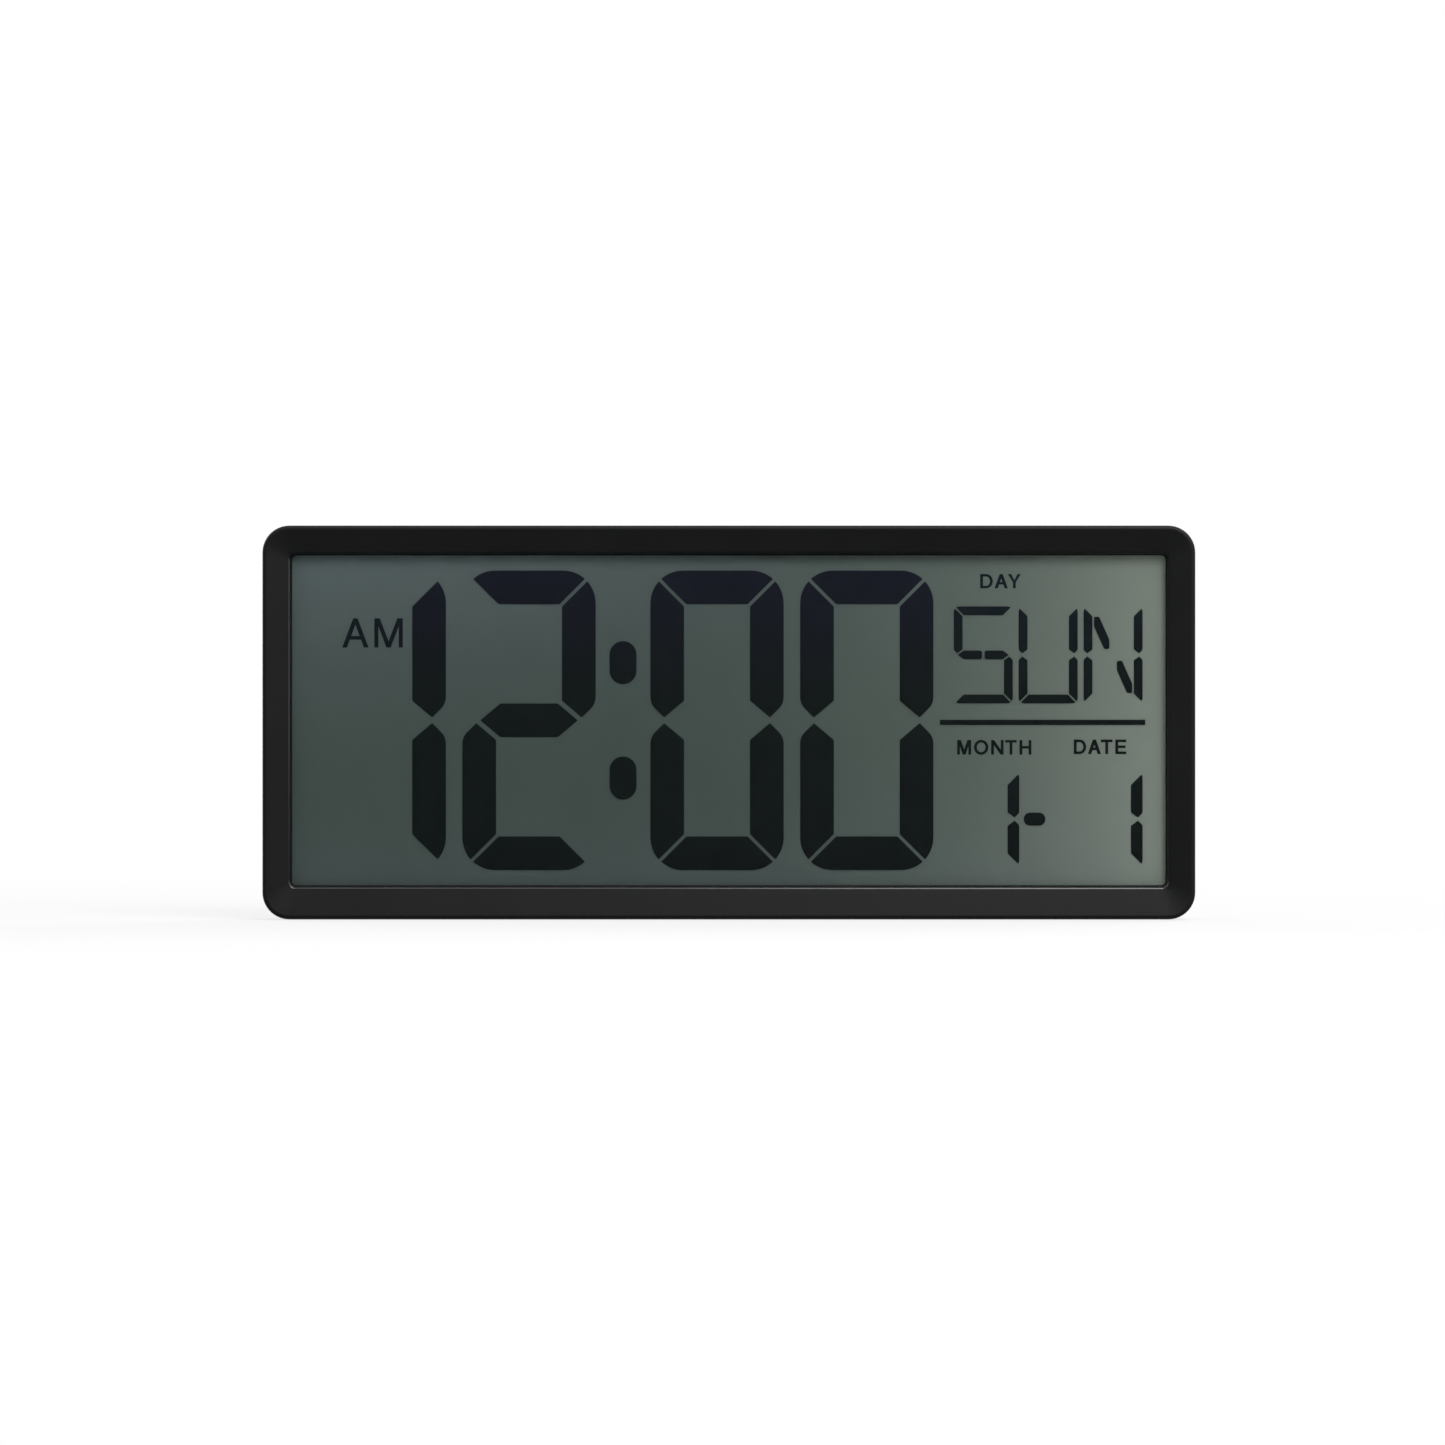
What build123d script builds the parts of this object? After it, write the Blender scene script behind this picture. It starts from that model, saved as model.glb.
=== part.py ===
from build123d import *
import os
from math import hypot, sqrt

# Large-digit LCD wall clock: a bevelled front frame round a segment display, and a rear cover with two wall
# keyholes, two fold-out feet, a hinged battery lid and five setting buttons.
# Millimetres. X runs to the right as seen from the front, Y runs back to the wall, Z runs up.
# The origin is the middle of the flat back, on the wall plane.

# Time digits
DIGIT_W = 51.5
DIGIT_H = 115.8
DIGIT_STROKE = 13.0
DIGIT_RADIUS = 12.6
DIGIT_GAP = 6.4
CORNER_GAP = 1.3
WAIST_GAP = 1.9
WAIST_TIP = 5.3
WAIST_RISE = 6.5
WAIST_SPLIT = 2.2
WAIST_RADIUS = 6.0
COLON_ZONE = 21.2
COLON_W = 10.4
COLON_H = 16.6
COLON_RISE = 22.3

# Weekday characters, date digits and the line between them
DAY_W = 22.8
DAY_H = 37.5
DAY_STROKE = 3.4
DAY_GAP = 2.3
DAY_RISE = 25.3
DAY_INSET = 5.4
DAY_LEAN_W = 2.0
DAY_LEAN_H = 3.6
DAY_LEAN_END = 1.45
DAY_LEAN_R = 0.6
DAY_SPLIT = 1.0
DAY_SPLIT_R = 0.9
DATE_H = 36.2
DATE_STROKE = 4.5
DATE_DROP = 38.2
DATE_PITCH = 47.7
DASH_W = 8.4
DASH_H = 5.0
DASH_GAP = 1.7
SMALL_GAP = 0.6
SMALL_SPLIT = 1.2
SMALL_RADIUS = 2.2
SMALL_TIP_SHARE = 0.4
SMALL_RISE_SHARE = 0.45
SMALL_BEND_SHARE = 0.3
DIVIDER_T = 2.0
DIVIDER_DROP = 0.8
DIVIDER_OVERHANG = 1.0

# Clear border round what the display shows
TIME_INSET = 46.3
CALENDAR_GAP = 2.5
CALENDAR_INSET = 7.7
DIGIT_MARGIN = 5.8

# Front frame
WALL = 2.2
CORNER_R = 10.4
EDGE_R = 1.2
RIM_W = 1.6
FACE_DROP = 1.8
WINDOW_RUN = 0.95
WINDOW_R = 1.6
LIP_R = 0.8
BOSS_D = 5.6
SIDE_CLEAR = 0.5
TOP_CLEAR = 0.65
LEDGE_CLEAR = 3.85
WEB_W = 4.5
BORE_SPARE = 1.0
SMALL_BORE_SPARE = 0.5
SIDE_BOSS_DROP = 24.0
TOP_BOSS_EDGE = 70.0
TRAY_BOSS_X = 45.0
HOOK_X = 95.0
HOOK_W = 14.0
HOOK_T = 1.6
HOOK_BITE = 1.2

# Display stack, from the window back
LENS_RECESS = 4.0
LENS_T = 1.5
LENS_LAP = 3.0
GASKET_T = 0.5
POLARISER_T = 0.2
FILM_LAP = 1.6
GLASS_T = 1.1
GLASS_LAP = 2.6
LEDGE = 4.5
CELL_GAP = 0.3
SEAL_W = 1.3
SEAL_EDGE = 0.3
GASKET_EDGE = 0.3
GASKET_SETBACK = 0.4
REFLECTOR_T = 0.2

# Display tray and main board
TRAY_T = 1.6
TRAY_CLEAR = 1.0
TRAY_EDGE = 0.9
TRAY_EAR_W = 12.0
TRAY_BAR = 12.0
TRAY_FIELD_H = 76.0
TRAY_FIELD_RISE = 16.0
TRAY_WINDOWS = 4
TRAY_HOLE_R = 3.2
STRIP_W = 2.0
STRIP_SPLIT = 12.0
STRIP_INSET = 12.0
STRIP_CLEAR = 0.2
BOARD_W = 156.0
BOARD_H = 34.0
BOARD_T = 1.2
BOARD_R = 1.0
BOARD_POST_H = 2.0
BOARD_POST_D = 5.0
BOARD_POST_INSET = 4.0
BLOB_D = 16.0
BLOB_H = 1.8
CRYSTAL_D = 2.0
CRYSTAL_L = 6.0
CRYSTAL_PIN_L = 1.2
CRYSTAL_PIN_W = 0.4
CRYSTAL_PIN_H = 1.4
CRYSTAL_PIN_PITCH = 1.0
CAPACITOR_COUNT = 2
CAPACITOR_D = 5.0
CAPACITOR_H = 7.0
CAPACITOR_PITCH = 8.0
CAPACITOR_EDGE_R = 0.5
BUZZER_D = 17.0
BUZZER_H = 7.0
BUZZER_EDGE_R = 0.7
BUZZER_PORT_D = 3.0
BUZZER_PORT_DEPTH = 4.2
BUZZER_RISE = 13.0

# Rear cover
COVER_T = 2.0
COVER_D = 12.0
COVER_INSET = 0.4
COVER_EDGE_R = 1.5
LIP_T = 0.9
LIP_H = 2.0
LIP_CLEAR = 0.15
LIP_NOTCH_CLEAR = 0.5
EDGE_BREAK = 0.3
SOUND_SLOTS = 5
SOUND_SLOT_W = 1.5
SOUND_PITCH = 3.2
SOUND_D = 17.0
RIB_T = 1.2
RIB_H = 3.0

# Screws
SCREW_D = 2.6
SCREW_L = 9.0
SCREW_HEAD_D = 4.6
SCREW_HEAD_H = 1.8
SCREW_FIT = 0.02
HEAD_CLEAR = 0.25
COLUMN_WALL = 1.1
COLUMN_FLOOR = 2.0
SMALL_SCREW_D = 2.0
SMALL_SCREW_L = 4.2
SMALL_HEAD_D = 3.6
SMALL_HEAD_H = 1.3
HEAD_ROUND_SHARE = 0.45
CROSS_W_SHARE = 0.14
CROSS_REACH_SHARE = 0.3
CROSS_DEPTH_SHARE = 0.55

# Wall keyholes
KEYHOLE_EDGE = 70.0
KEYHOLE_DROP = 36.0
KEYHOLE_D = 9.0
KEYHOLE_SLOT_W = 4.6
KEYHOLE_RISE = 9.0
KEYHOLE_CUP_W = 13.0
KEYHOLE_CUP_DEPTH = 8.0
KEYHOLE_CUP_WALL = 1.4

# Fold-out feet
FOOT_EDGE = 58.0
FOOT_W = 28.0
FOOT_L = 46.0
FOOT_T = 2.8
FOOT_SINK = 0.3
FOOT_BARREL_R = 2.4
FOOT_PIN_D = 3.0
FOOT_PIN_L = 2.0
FOOT_PIN_FIT = 0.06
FOOT_CLEAR = 0.4
FOOT_AXIS_RISE = 11.0
FOOT_POCKET_WALL = 3.0
FOOT_POCKET_FLOOR = 1.4
FOOT_NOTCH_W = 20.0
FOOT_NOTCH_H = 8.0
FOOT_NOTCH_R = 2.4
FOOT_WINDOW_W = 12.0
FOOT_WINDOW_L = 16.0
FOOT_WINDOW_R = 2.4
FOOT_TIP_R = 5.0
FOOT_EDGE_R = 0.6

# Battery bay and lid
BATTERY_D = 14.5
BATTERY_L = 50.5
BATTERY_NUB_D = 5.5
BATTERY_NUB_L = 1.2
BATTERY_SPLIT = 1.2
BATTERY_CLEAR = 0.4
BATTERY_EDGE_R = 0.6
PLUS_SPACE = 1.3
MINUS_SPACE = 4.2
CONTACT_T = 0.4
CONTACT_W = 10.0
CONTACT_H = 11.0
CONTACT_TAB_W = 4.0
CONTACT_TAB_L = 5.0
CONTACT_TAB_STEP = 3.0
CONTACT_BUMP_D = 4.0
CONTACT_LEAF_W = 6.0
BAY_EDGE = 116.0
BAY_Z = 4.0
BAY_WALL = 1.4
BAY_FLOOR_T = 1.2
LID_T = 1.8
LID_SINK = 0.2
LID_LAP = 3.4
LID_CLEAR = 0.3
LID_KNUCKLE_R = 1.2
LID_PIN_D = 1.6
LID_PIN_L = 2.0
LID_PIN_FIT = 0.05
LID_PAD_T = 1.9
LID_PAD_MARGIN = 4.0
LID_FINGER_W = 12.0
LID_FINGER_L = 7.0
LID_SLIT_W = 0.9
LID_CORNER_R = 1.6
LID_EDGE_R = 0.5
LID_GRIPS = 3
LID_GRIP_PITCH = 1.6
LID_GRIP_DEPTH = 0.5
SCOOP_R = 6.5
SCOOP_DEPTH = 2.2
LEAD_D = 1.4
LEAD_BEND_R = 2.2

# Setting buttons, switches and key board
KEY_COUNT = 5
KEY_PITCH = 14.0
KEY_ROW_EDGE = 116.0
KEY_ROW_Z = 12.0
KEY_D = 7.6
KEY_CLEAR = 0.3
KEY_PROUD = 1.6
KEY_EDGE_R = 0.5
KEY_FLANGE_D = 10.0
KEY_FLANGE_T = 1.0
KEY_FLANGE_GAP = 0.1
KEY_STEM_D = 3.0
KEY_STEM_L = 1.0
KEY_TRAVEL = 0.8
PANEL_SINK = 2.5
PANEL_T = 1.6
PANEL_H = 17.0
PANEL_RISE = 2.0
PANEL_MARGIN = 6.5
PANEL_R = 3.0
SWITCH_SIZE = 6.0
SWITCH_H = 3.5
PLUNGER_D = 3.5
PLUNGER_PROUD = 1.5
PLUNGER_DEPTH = 1.0
PLUNGER_FIT = 0.15
KEY_BOARD_MARGIN = 13.0
KEY_BOARD_H = 22.0
KEY_POST_D = 5.0
KEY_POST_INSET = 3.4
RIBBON_W = 9.0
RIBBON_T = 0.6
RIBBON_BEND_R = 2.0
RIBBON_TOP_LAP = 2.7
RIBBON_LOW_LAP = 3.6
RIBBON_DROP = 9.0
RIBBON_RISE = 5.4
RIBBON_STEP = 14.0

KEY_NAMES = ["mode", "set", "up", "down", "format"]

# How near two lengths are to count as the same
SAME = 0.01

# Display layout, worked out from left to right
CALENDAR_W = DAY_INSET + 3 * DAY_W + 2 * DAY_GAP + DIVIDER_OVERHANG
TIME_W = DIGIT_STROKE + 2 * DIGIT_GAP + 3 * DIGIT_W + COLON_ZONE
VIEW_W = TIME_INSET + TIME_W + CALENDAR_GAP + CALENDAR_W + CALENDAR_INSET
VIEW_H = DIGIT_H + 2 * DIGIT_MARGIN
HOUR_TENS_X = -VIEW_W / 2 + TIME_INSET + DIGIT_STROKE - DIGIT_W / 2
HOUR_ONES_X = HOUR_TENS_X + DIGIT_W + DIGIT_GAP
COLON_X = HOUR_ONES_X + DIGIT_W / 2 + COLON_ZONE / 2
MINUTE_TENS_X = COLON_X + COLON_ZONE / 2 + DIGIT_W / 2
MINUTE_ONES_X = MINUTE_TENS_X + DIGIT_W + DIGIT_GAP
CALENDAR_X = MINUTE_ONES_X + DIGIT_W / 2 + CALENDAR_GAP
DAY_X = CALENDAR_X + DAY_INSET + DAY_W / 2
DATE_RIGHT_X = DAY_X + 2 * (DAY_W + DAY_GAP) + DAY_W / 2

# Case outline: the bezel is as wide as what stands behind it
BEZEL_SIDE = WALL + BOSS_D + SIDE_CLEAR + LENS_LAP - WINDOW_RUN
BEZEL_TOP = WALL + BOSS_D + TOP_CLEAR + LENS_LAP - WINDOW_RUN
BEZEL_BOTTOM = WALL + LEDGE_CLEAR + LEDGE + GLASS_LAP - WINDOW_RUN
CASE_W = VIEW_W + 2 * (BEZEL_SIDE + WINDOW_RUN)
CASE_H = VIEW_H + BEZEL_TOP + BEZEL_BOTTOM + 2 * WINDOW_RUN
VIEW_Z = (BEZEL_BOTTOM - BEZEL_TOP) / 2
VIEW_BOTTOM = VIEW_Z - VIEW_H / 2
VIEW_TOP = VIEW_Z + VIEW_H / 2

# Depths: the case is as deep as the display stack and the battery bay one behind the other
STACK_D = LENS_RECESS + LENS_T + GASKET_T + POLARISER_T + 2 * GLASS_T + CELL_GAP + REFLECTOR_T
BAY_D = BAY_FLOOR_T + BATTERY_CLEAR + BATTERY_D + BATTERY_CLEAR + LID_T + LID_SINK
CASE_D = STACK_D + TRAY_T + TRAY_CLEAR + BAY_D
FRONT = -CASE_D
LENS_FRONT = FRONT + LENS_RECESS
LENS_BACK = LENS_FRONT + LENS_T
FILM_FRONT = LENS_BACK + GASKET_T
GLASS_FRONT = FILM_FRONT + POLARISER_T
CELL_FRONT = GLASS_FRONT + GLASS_T
CELL_BACK = CELL_FRONT + CELL_GAP
GLASS_BACK = CELL_BACK + GLASS_T
TRAY_FRONT = GLASS_BACK + REFLECTOR_T
TRAY_BACK = TRAY_FRONT + TRAY_T
BOARD_FRONT = TRAY_BACK + BOARD_POST_H
BOARD_BACK = BOARD_FRONT + BOARD_T
SPLIT = -COVER_D

# Places behind the display
BOSS_EDGE = WALL + BOSS_D / 2
SIDE_BOSS_X = CASE_W / 2 - BOSS_EDGE
SIDE_BOSS_Z = CASE_H / 2 - SIDE_BOSS_DROP
TOP_BOSS_X = CASE_W / 2 - TOP_BOSS_EDGE
TOP_BOSS_Z = CASE_H / 2 - BOSS_EDGE
COVER_POINTS = [(sx * SIDE_BOSS_X, sz * SIDE_BOSS_Z) for sx in (-1, 1) for sz in (-1, 1)]
COVER_POINTS += [(sx * TOP_BOSS_X, TOP_BOSS_Z) for sx in (-1, 1)]
TRAY_POINTS = [(sx * TRAY_BOSS_X, TOP_BOSS_Z) for sx in (-1, 1)]
FLOOR_Z = -CASE_H / 2 + WALL
TRAY_BOTTOM = FLOOR_Z + TRAY_EDGE
STRIP_Z = VIEW_BOTTOM - GLASS_LAP - LEDGE / 2
STRIP_L = BOARD_W / 2 - STRIP_INSET - STRIP_SPLIT / 2
STRIP_X = (STRIP_SPLIT + STRIP_L) / 2
BOARD_BOTTOM = STRIP_Z - LEDGE / 2 - STRIP_CLEAR
BOARD_Z = BOARD_BOTTOM + BOARD_H / 2
BOARD_POINTS = [
    (sx * (BOARD_W / 2 - BOARD_POST_INSET), BOARD_Z + sz * (BOARD_H / 2 - BOARD_POST_INSET))
    for sx in (-1, 1)
    for sz in (-1, 1)
]
BUZZER_Z = BOARD_BOTTOM + BUZZER_RISE

# Places on the rear cover
COVER_WALL = WALL + LIP_CLEAR + LIP_T - COVER_INSET
HEAD_BORE_D = SCREW_HEAD_D + 2 * HEAD_CLEAR
SCREW_BORE = SCREW_D + 2 * SCREW_FIT
SMALL_BORE = SMALL_SCREW_D + 2 * SCREW_FIT
COLUMN_D = HEAD_BORE_D + 2 * COLUMN_WALL
KEYHOLE_X = CASE_W / 2 - KEYHOLE_EDGE
KEYHOLE_Z = CASE_H / 2 - KEYHOLE_DROP
FOOT_X = CASE_W / 2 - FOOT_EDGE
FOOT_AXIS_Y = -FOOT_SINK - FOOT_BARREL_R
FOOT_AXIS_Z = -CASE_H / 2 + FOOT_AXIS_RISE
FOOT_FLOOR = FOOT_AXIS_Y - FOOT_BARREL_R - FOOT_CLEAR
BAY_X = CASE_W / 2 - BAY_EDGE
LID_FRONT = -LID_SINK - LID_T
BATTERY_Y = LID_FRONT - BATTERY_CLEAR - BATTERY_D / 2
BAY_FLOOR = BATTERY_Y - BATTERY_D / 2 - BATTERY_CLEAR
BAY_L = BATTERY_L + PLUS_SPACE + MINUS_SPACE
BAY_W = 2 * BATTERY_D + BATTERY_SPLIT + 2 * BATTERY_CLEAR
BATTERY_RISE = (BATTERY_D + BATTERY_SPLIT) / 2
LID_L = BAY_L + 2 * LID_LAP
LID_W = BAY_W + 2 * LID_LAP
LID_AXIS_Y = -LID_SINK - LID_KNUCKLE_R
LID_AXIS_Z = BAY_Z + LID_W / 2 - LID_KNUCKLE_R
LID_BOTTOM = BAY_Z - LID_W / 2
KEY_ROW_X = KEY_ROW_EDGE - CASE_W / 2
KEY_SPAN = (KEY_COUNT - 1) * KEY_PITCH
KEY_XS = [KEY_ROW_X - KEY_SPAN / 2 + i * KEY_PITCH for i in range(KEY_COUNT)]
PANEL_Z = KEY_ROW_Z + PANEL_RISE
PANEL_FLOOR = -PANEL_SINK
PANEL_INNER = PANEL_FLOOR - PANEL_T
FLANGE_BACK = PANEL_INNER - KEY_FLANGE_GAP
FLANGE_FRONT = FLANGE_BACK - KEY_FLANGE_T
PLUNGER_BACK = FLANGE_FRONT - KEY_STEM_L
SWITCH_BACK = PLUNGER_BACK - PLUNGER_PROUD
KEY_BOARD_BACK = SWITCH_BACK - SWITCH_H
KEY_BOARD_FRONT = KEY_BOARD_BACK - BOARD_T
KEY_BOARD_W = KEY_SPAN + 2 * KEY_BOARD_MARGIN
KEY_POST_X = KEY_BOARD_W / 2 - KEY_POST_INSET
KEY_POST_Z = KEY_BOARD_H / 2 - KEY_POST_INSET
KEY_POINTS = [
    (KEY_ROW_X + sx * KEY_POST_X, KEY_ROW_Z + sz * KEY_POST_Z)
    for sx in (-1, 1)
    for sz in (-1, 1)
]


def slab(outline, front, back):
    """Outline drawn in X and Z, filled from one depth to the other."""
    plane = Plane(origin=(0, back, 0), x_dir=(1, 0, 0), z_dir=(0, -1, 0))
    return extrude(plane * outline, amount=back - front, dir=(0, -1, 0))


def block(x0, x1, front, back, z0, z1):
    """Box between two corners."""
    return Pos((x0 + x1) / 2, (front + back) / 2, (z0 + z1) / 2) * Box(x1 - x0, back - front, z1 - z0)


def post(x, z, diameter, front, back):
    """Round post along the depth."""
    return slab(Pos(x, z) * Circle(diameter / 2), front, back)


def bar(x0, x1, y, z, radius):
    """Round bar along X."""
    return Pos((x0 + x1) / 2, y, z) * Rot(0, 90, 0) * Cylinder(radius, x1 - x0)


def outline_face(outline, y):
    """Outline drawn in X and Z, as a face at one depth."""
    plane = Plane(origin=(0, y, 0), x_dir=(1, 0, 0), z_dir=(0, -1, 0))
    return (plane * outline).faces()[0]


def frame_rect(inset, radius):
    """Case outline, drawn in by an inset."""
    return RectangleRounded(CASE_W - 2 * inset, CASE_H - 2 * inset, radius)


def view_rect(grow, radius):
    """Window outline with round corners, grown on every side."""
    return Pos(0, VIEW_Z) * RectangleRounded(VIEW_W + 2 * grow, VIEW_H + 2 * grow, radius)


def view_plain(grow):
    """Window outline with square corners, grown on every side."""
    return Pos(0, VIEW_Z) * Rectangle(VIEW_W + 2 * grow, VIEW_H + 2 * grow)


def pan_screw(x, z, seat, length, shank_d, head_d, head_h):
    """Pan head screw driven towards the front, its head resting on the seat plane."""
    head = post(x, z, head_d, seat, seat + head_h)
    rim = head.edges().filter_by(GeomType.CIRCLE).group_by(Axis.Y)[-1]
    head = fillet(rim, head_h * HEAD_ROUND_SHARE)
    half = head_d * CROSS_W_SHARE / 2
    reach = head_d * CROSS_REACH_SHARE
    top = seat + head_h
    low = top - head_h * CROSS_DEPTH_SHARE
    cross = block(x - reach, x + reach, low, top, z - half, z + half)
    cross += block(x - half, x + half, low, top, z - reach, z + reach)
    return head - cross + post(x, z, shank_d, seat - length, seat)


def seven_segments(width, height, stroke, radius, corner_gap, waist):
    """The seven bars of one digit, cut from a rounded outline by mitred gaps."""
    half_w = width / 2
    half_h = height / 2
    inner = half_w - stroke
    under = half_h - stroke
    shift = corner_gap / sqrt(2)
    shell = RectangleRounded(width, height, radius)
    top_bar = Polygon(
        (-inner + shift, under),
        (inner - shift, under),
        (half_w - shift, half_h),
        (-half_w + shift, half_h),
        align=None,
    )
    top_bar = shell & top_bar
    tip = (-half_w + waist["tip"], waist["split"] / 2)
    heel = (-half_w, tip[1] + waist["tip"])
    side_bar = Polygon(
        (-inner, under - shift),
        (-half_w, half_h - shift),
        heel,
        tip,
        (-inner, tip[1] + waist["rise"]),
        align=None,
    )
    side_bar = shell & side_bar
    corner = side_bar.vertices().sort_by_distance(Vector(heel[0], heel[1], 0))[0]
    side_bar = fillet(corner, waist["radius"])
    run = stroke - waist["tip"]
    length = hypot(run, waist["rise"])
    reach = tip[0] + waist["gap"] * waist["rise"] / length
    level = tip[1] - waist["gap"] * run / length
    point = reach - level * run / waist["rise"]
    shoulder = point + stroke / 2 * run / waist["rise"]
    middle_bar = Polygon(
        (point, 0),
        (shoulder, stroke / 2),
        (-shoulder, stroke / 2),
        (-point, 0),
        (-shoulder, -stroke / 2),
        (shoulder, -stroke / 2),
        align=None,
    )
    return {
        "a": top_bar,
        "b": mirror(side_bar, Plane.YZ),
        "c": mirror(mirror(side_bar, Plane.YZ), Plane.XZ),
        "d": mirror(top_bar, Plane.XZ),
        "e": mirror(side_bar, Plane.XZ),
        "f": side_bar,
        "g": middle_bar,
    }


def small_waist(stroke):
    """Waist of the small digits: a straight mitre at the middle of the height."""
    return {
        "tip": stroke * SMALL_TIP_SHARE,
        "rise": stroke * SMALL_RISE_SHARE,
        "split": SMALL_SPLIT,
        "radius": stroke * SMALL_BEND_SHARE,
        "gap": SMALL_GAP,
    }


def day_characters():
    """Bars of one weekday character: a split middle bar and two leaning bars are added to the seven."""
    bars = seven_segments(DAY_W, DAY_H, DAY_STROKE, SMALL_RADIUS, SMALL_GAP, small_waist(DAY_STROKE))
    left_half = Pos(-DAY_W / 2 - DAY_SPLIT / 2, 0) * Rectangle(DAY_W, DAY_H)
    left_bar = bars["g"] & left_half
    left_bar = fillet(left_bar.vertices().group_by(Axis.X)[-1], DAY_SPLIT_R)
    bars["g1"] = left_bar
    bars["g2"] = mirror(left_bar, Plane.YZ)
    side = -DAY_W / 2 + DAY_STROKE + SMALL_GAP
    top = DAY_H / 2 - DAY_STROKE - SMALL_GAP
    low = DAY_STROKE / 2 + SMALL_GAP
    end = -DAY_LEAN_END
    lean = Polygon(
        (side, top),
        (side + DAY_LEAN_W, top),
        (end, low + DAY_LEAN_H),
        (end, low),
        (end - DAY_LEAN_W, low),
        (side, top - DAY_LEAN_H),
        align=None,
    )
    lean = fillet(lean.vertices(), DAY_LEAN_R)
    bars["h"] = lean
    bars["m"] = mirror(mirror(lean, Plane.YZ), Plane.XZ)
    return bars


def cell_layer(outlines):
    """Dark bars filling the thickness of the display cell."""
    solids = [slab(o, CELL_FRONT, CELL_BACK) for o in outlines]
    return Part() + solids


def place(bars, letters, x, z):
    """Chosen bars of one character, moved to their place."""
    return [Pos(x, z) * bars[letter] for letter in letters]


def make_segments():
    """Every dark bar of the display, one node for each group that is read together."""
    waist = {
        "tip": WAIST_TIP,
        "rise": WAIST_RISE,
        "split": WAIST_SPLIT,
        "radius": WAIST_RADIUS,
        "gap": WAIST_GAP,
    }
    digit = seven_segments(DIGIT_W, DIGIT_H, DIGIT_STROKE, DIGIT_RADIUS, CORNER_GAP, waist)
    hour = place(digit, "bc", HOUR_TENS_X, VIEW_Z) + place(digit, "abged", HOUR_ONES_X, VIEW_Z)
    minute = place(digit, "abcdef", MINUTE_TENS_X, VIEW_Z)
    minute += place(digit, "abcdef", MINUTE_ONES_X, VIEW_Z)
    dot = Rot(0, 0, 90) * SlotOverall(COLON_H, COLON_W)
    colon = [Pos(COLON_X, VIEW_Z + s * COLON_RISE) * dot for s in (-1, 1)]
    letter = day_characters()
    day_z = VIEW_Z + DAY_RISE
    step = DAY_W + DAY_GAP
    day = place(letter, ["a", "f", "g1", "g2", "c", "d"], DAY_X, day_z)
    day += place(letter, ["f", "e", "d", "c", "b"], DAY_X + step, day_z)
    day += place(letter, ["f", "e", "h", "m", "b", "c"], DAY_X + 2 * step, day_z)
    date_z = VIEW_Z - DATE_DROP
    figure_w = DATE_H * DAY_W / DAY_H
    figure_waist = small_waist(DATE_STROKE)
    figure = seven_segments(figure_w, DATE_H, DATE_STROKE, SMALL_RADIUS, SMALL_GAP, figure_waist)
    month_right = DATE_RIGHT_X - DATE_PITCH
    date = place(figure, "bc", DATE_RIGHT_X - figure_w / 2, date_z)
    date += place(figure, "bc", month_right - figure_w / 2, date_z)
    date.append(Pos(month_right + DASH_GAP + DASH_W / 2, date_z) * SlotOverall(DASH_W, DASH_H))
    divider = Pos(CALENDAR_X + CALENDAR_W / 2, VIEW_Z - DIVIDER_DROP) * Rectangle(CALENDAR_W, DIVIDER_T)
    return {
        "hour_segments": cell_layer(hour),
        "minute_segments": cell_layer(minute),
        "colon_segments": cell_layer(colon),
        "day_segments": cell_layer(day),
        "date_segments": cell_layer(date),
        "divider_segment": cell_layer([divider]),
    }


def make_display():
    """Window, gasket, films and glasses; the front glass runs on below as a contact ledge."""
    glass_w = VIEW_W + 2 * GLASS_LAP
    glass_h = VIEW_H + 2 * GLASS_LAP + LEDGE
    front_glass = Pos(0, VIEW_Z - LEDGE / 2) * Rectangle(glass_w, glass_h)
    seal_out = GLASS_LAP - SEAL_EDGE
    seal = view_plain(seal_out) - view_plain(seal_out - SEAL_W)
    gasket = view_plain(LENS_LAP - GASKET_EDGE) - view_plain(GASKET_SETBACK)
    return {
        "lens": slab(view_rect(LENS_LAP, WINDOW_R), LENS_FRONT, LENS_BACK),
        "lens_gasket": slab(gasket, LENS_BACK, FILM_FRONT),
        "front_polariser": slab(view_plain(FILM_LAP), FILM_FRONT, GLASS_FRONT),
        "front_glass": slab(front_glass, GLASS_FRONT, CELL_FRONT),
        "cell_seal": slab(seal, CELL_FRONT, CELL_BACK),
        "rear_glass": slab(view_plain(GLASS_LAP), CELL_BACK, GLASS_BACK),
        "reflector": slab(view_plain(FILM_LAP), GLASS_BACK, TRAY_FRONT),
    }


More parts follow.
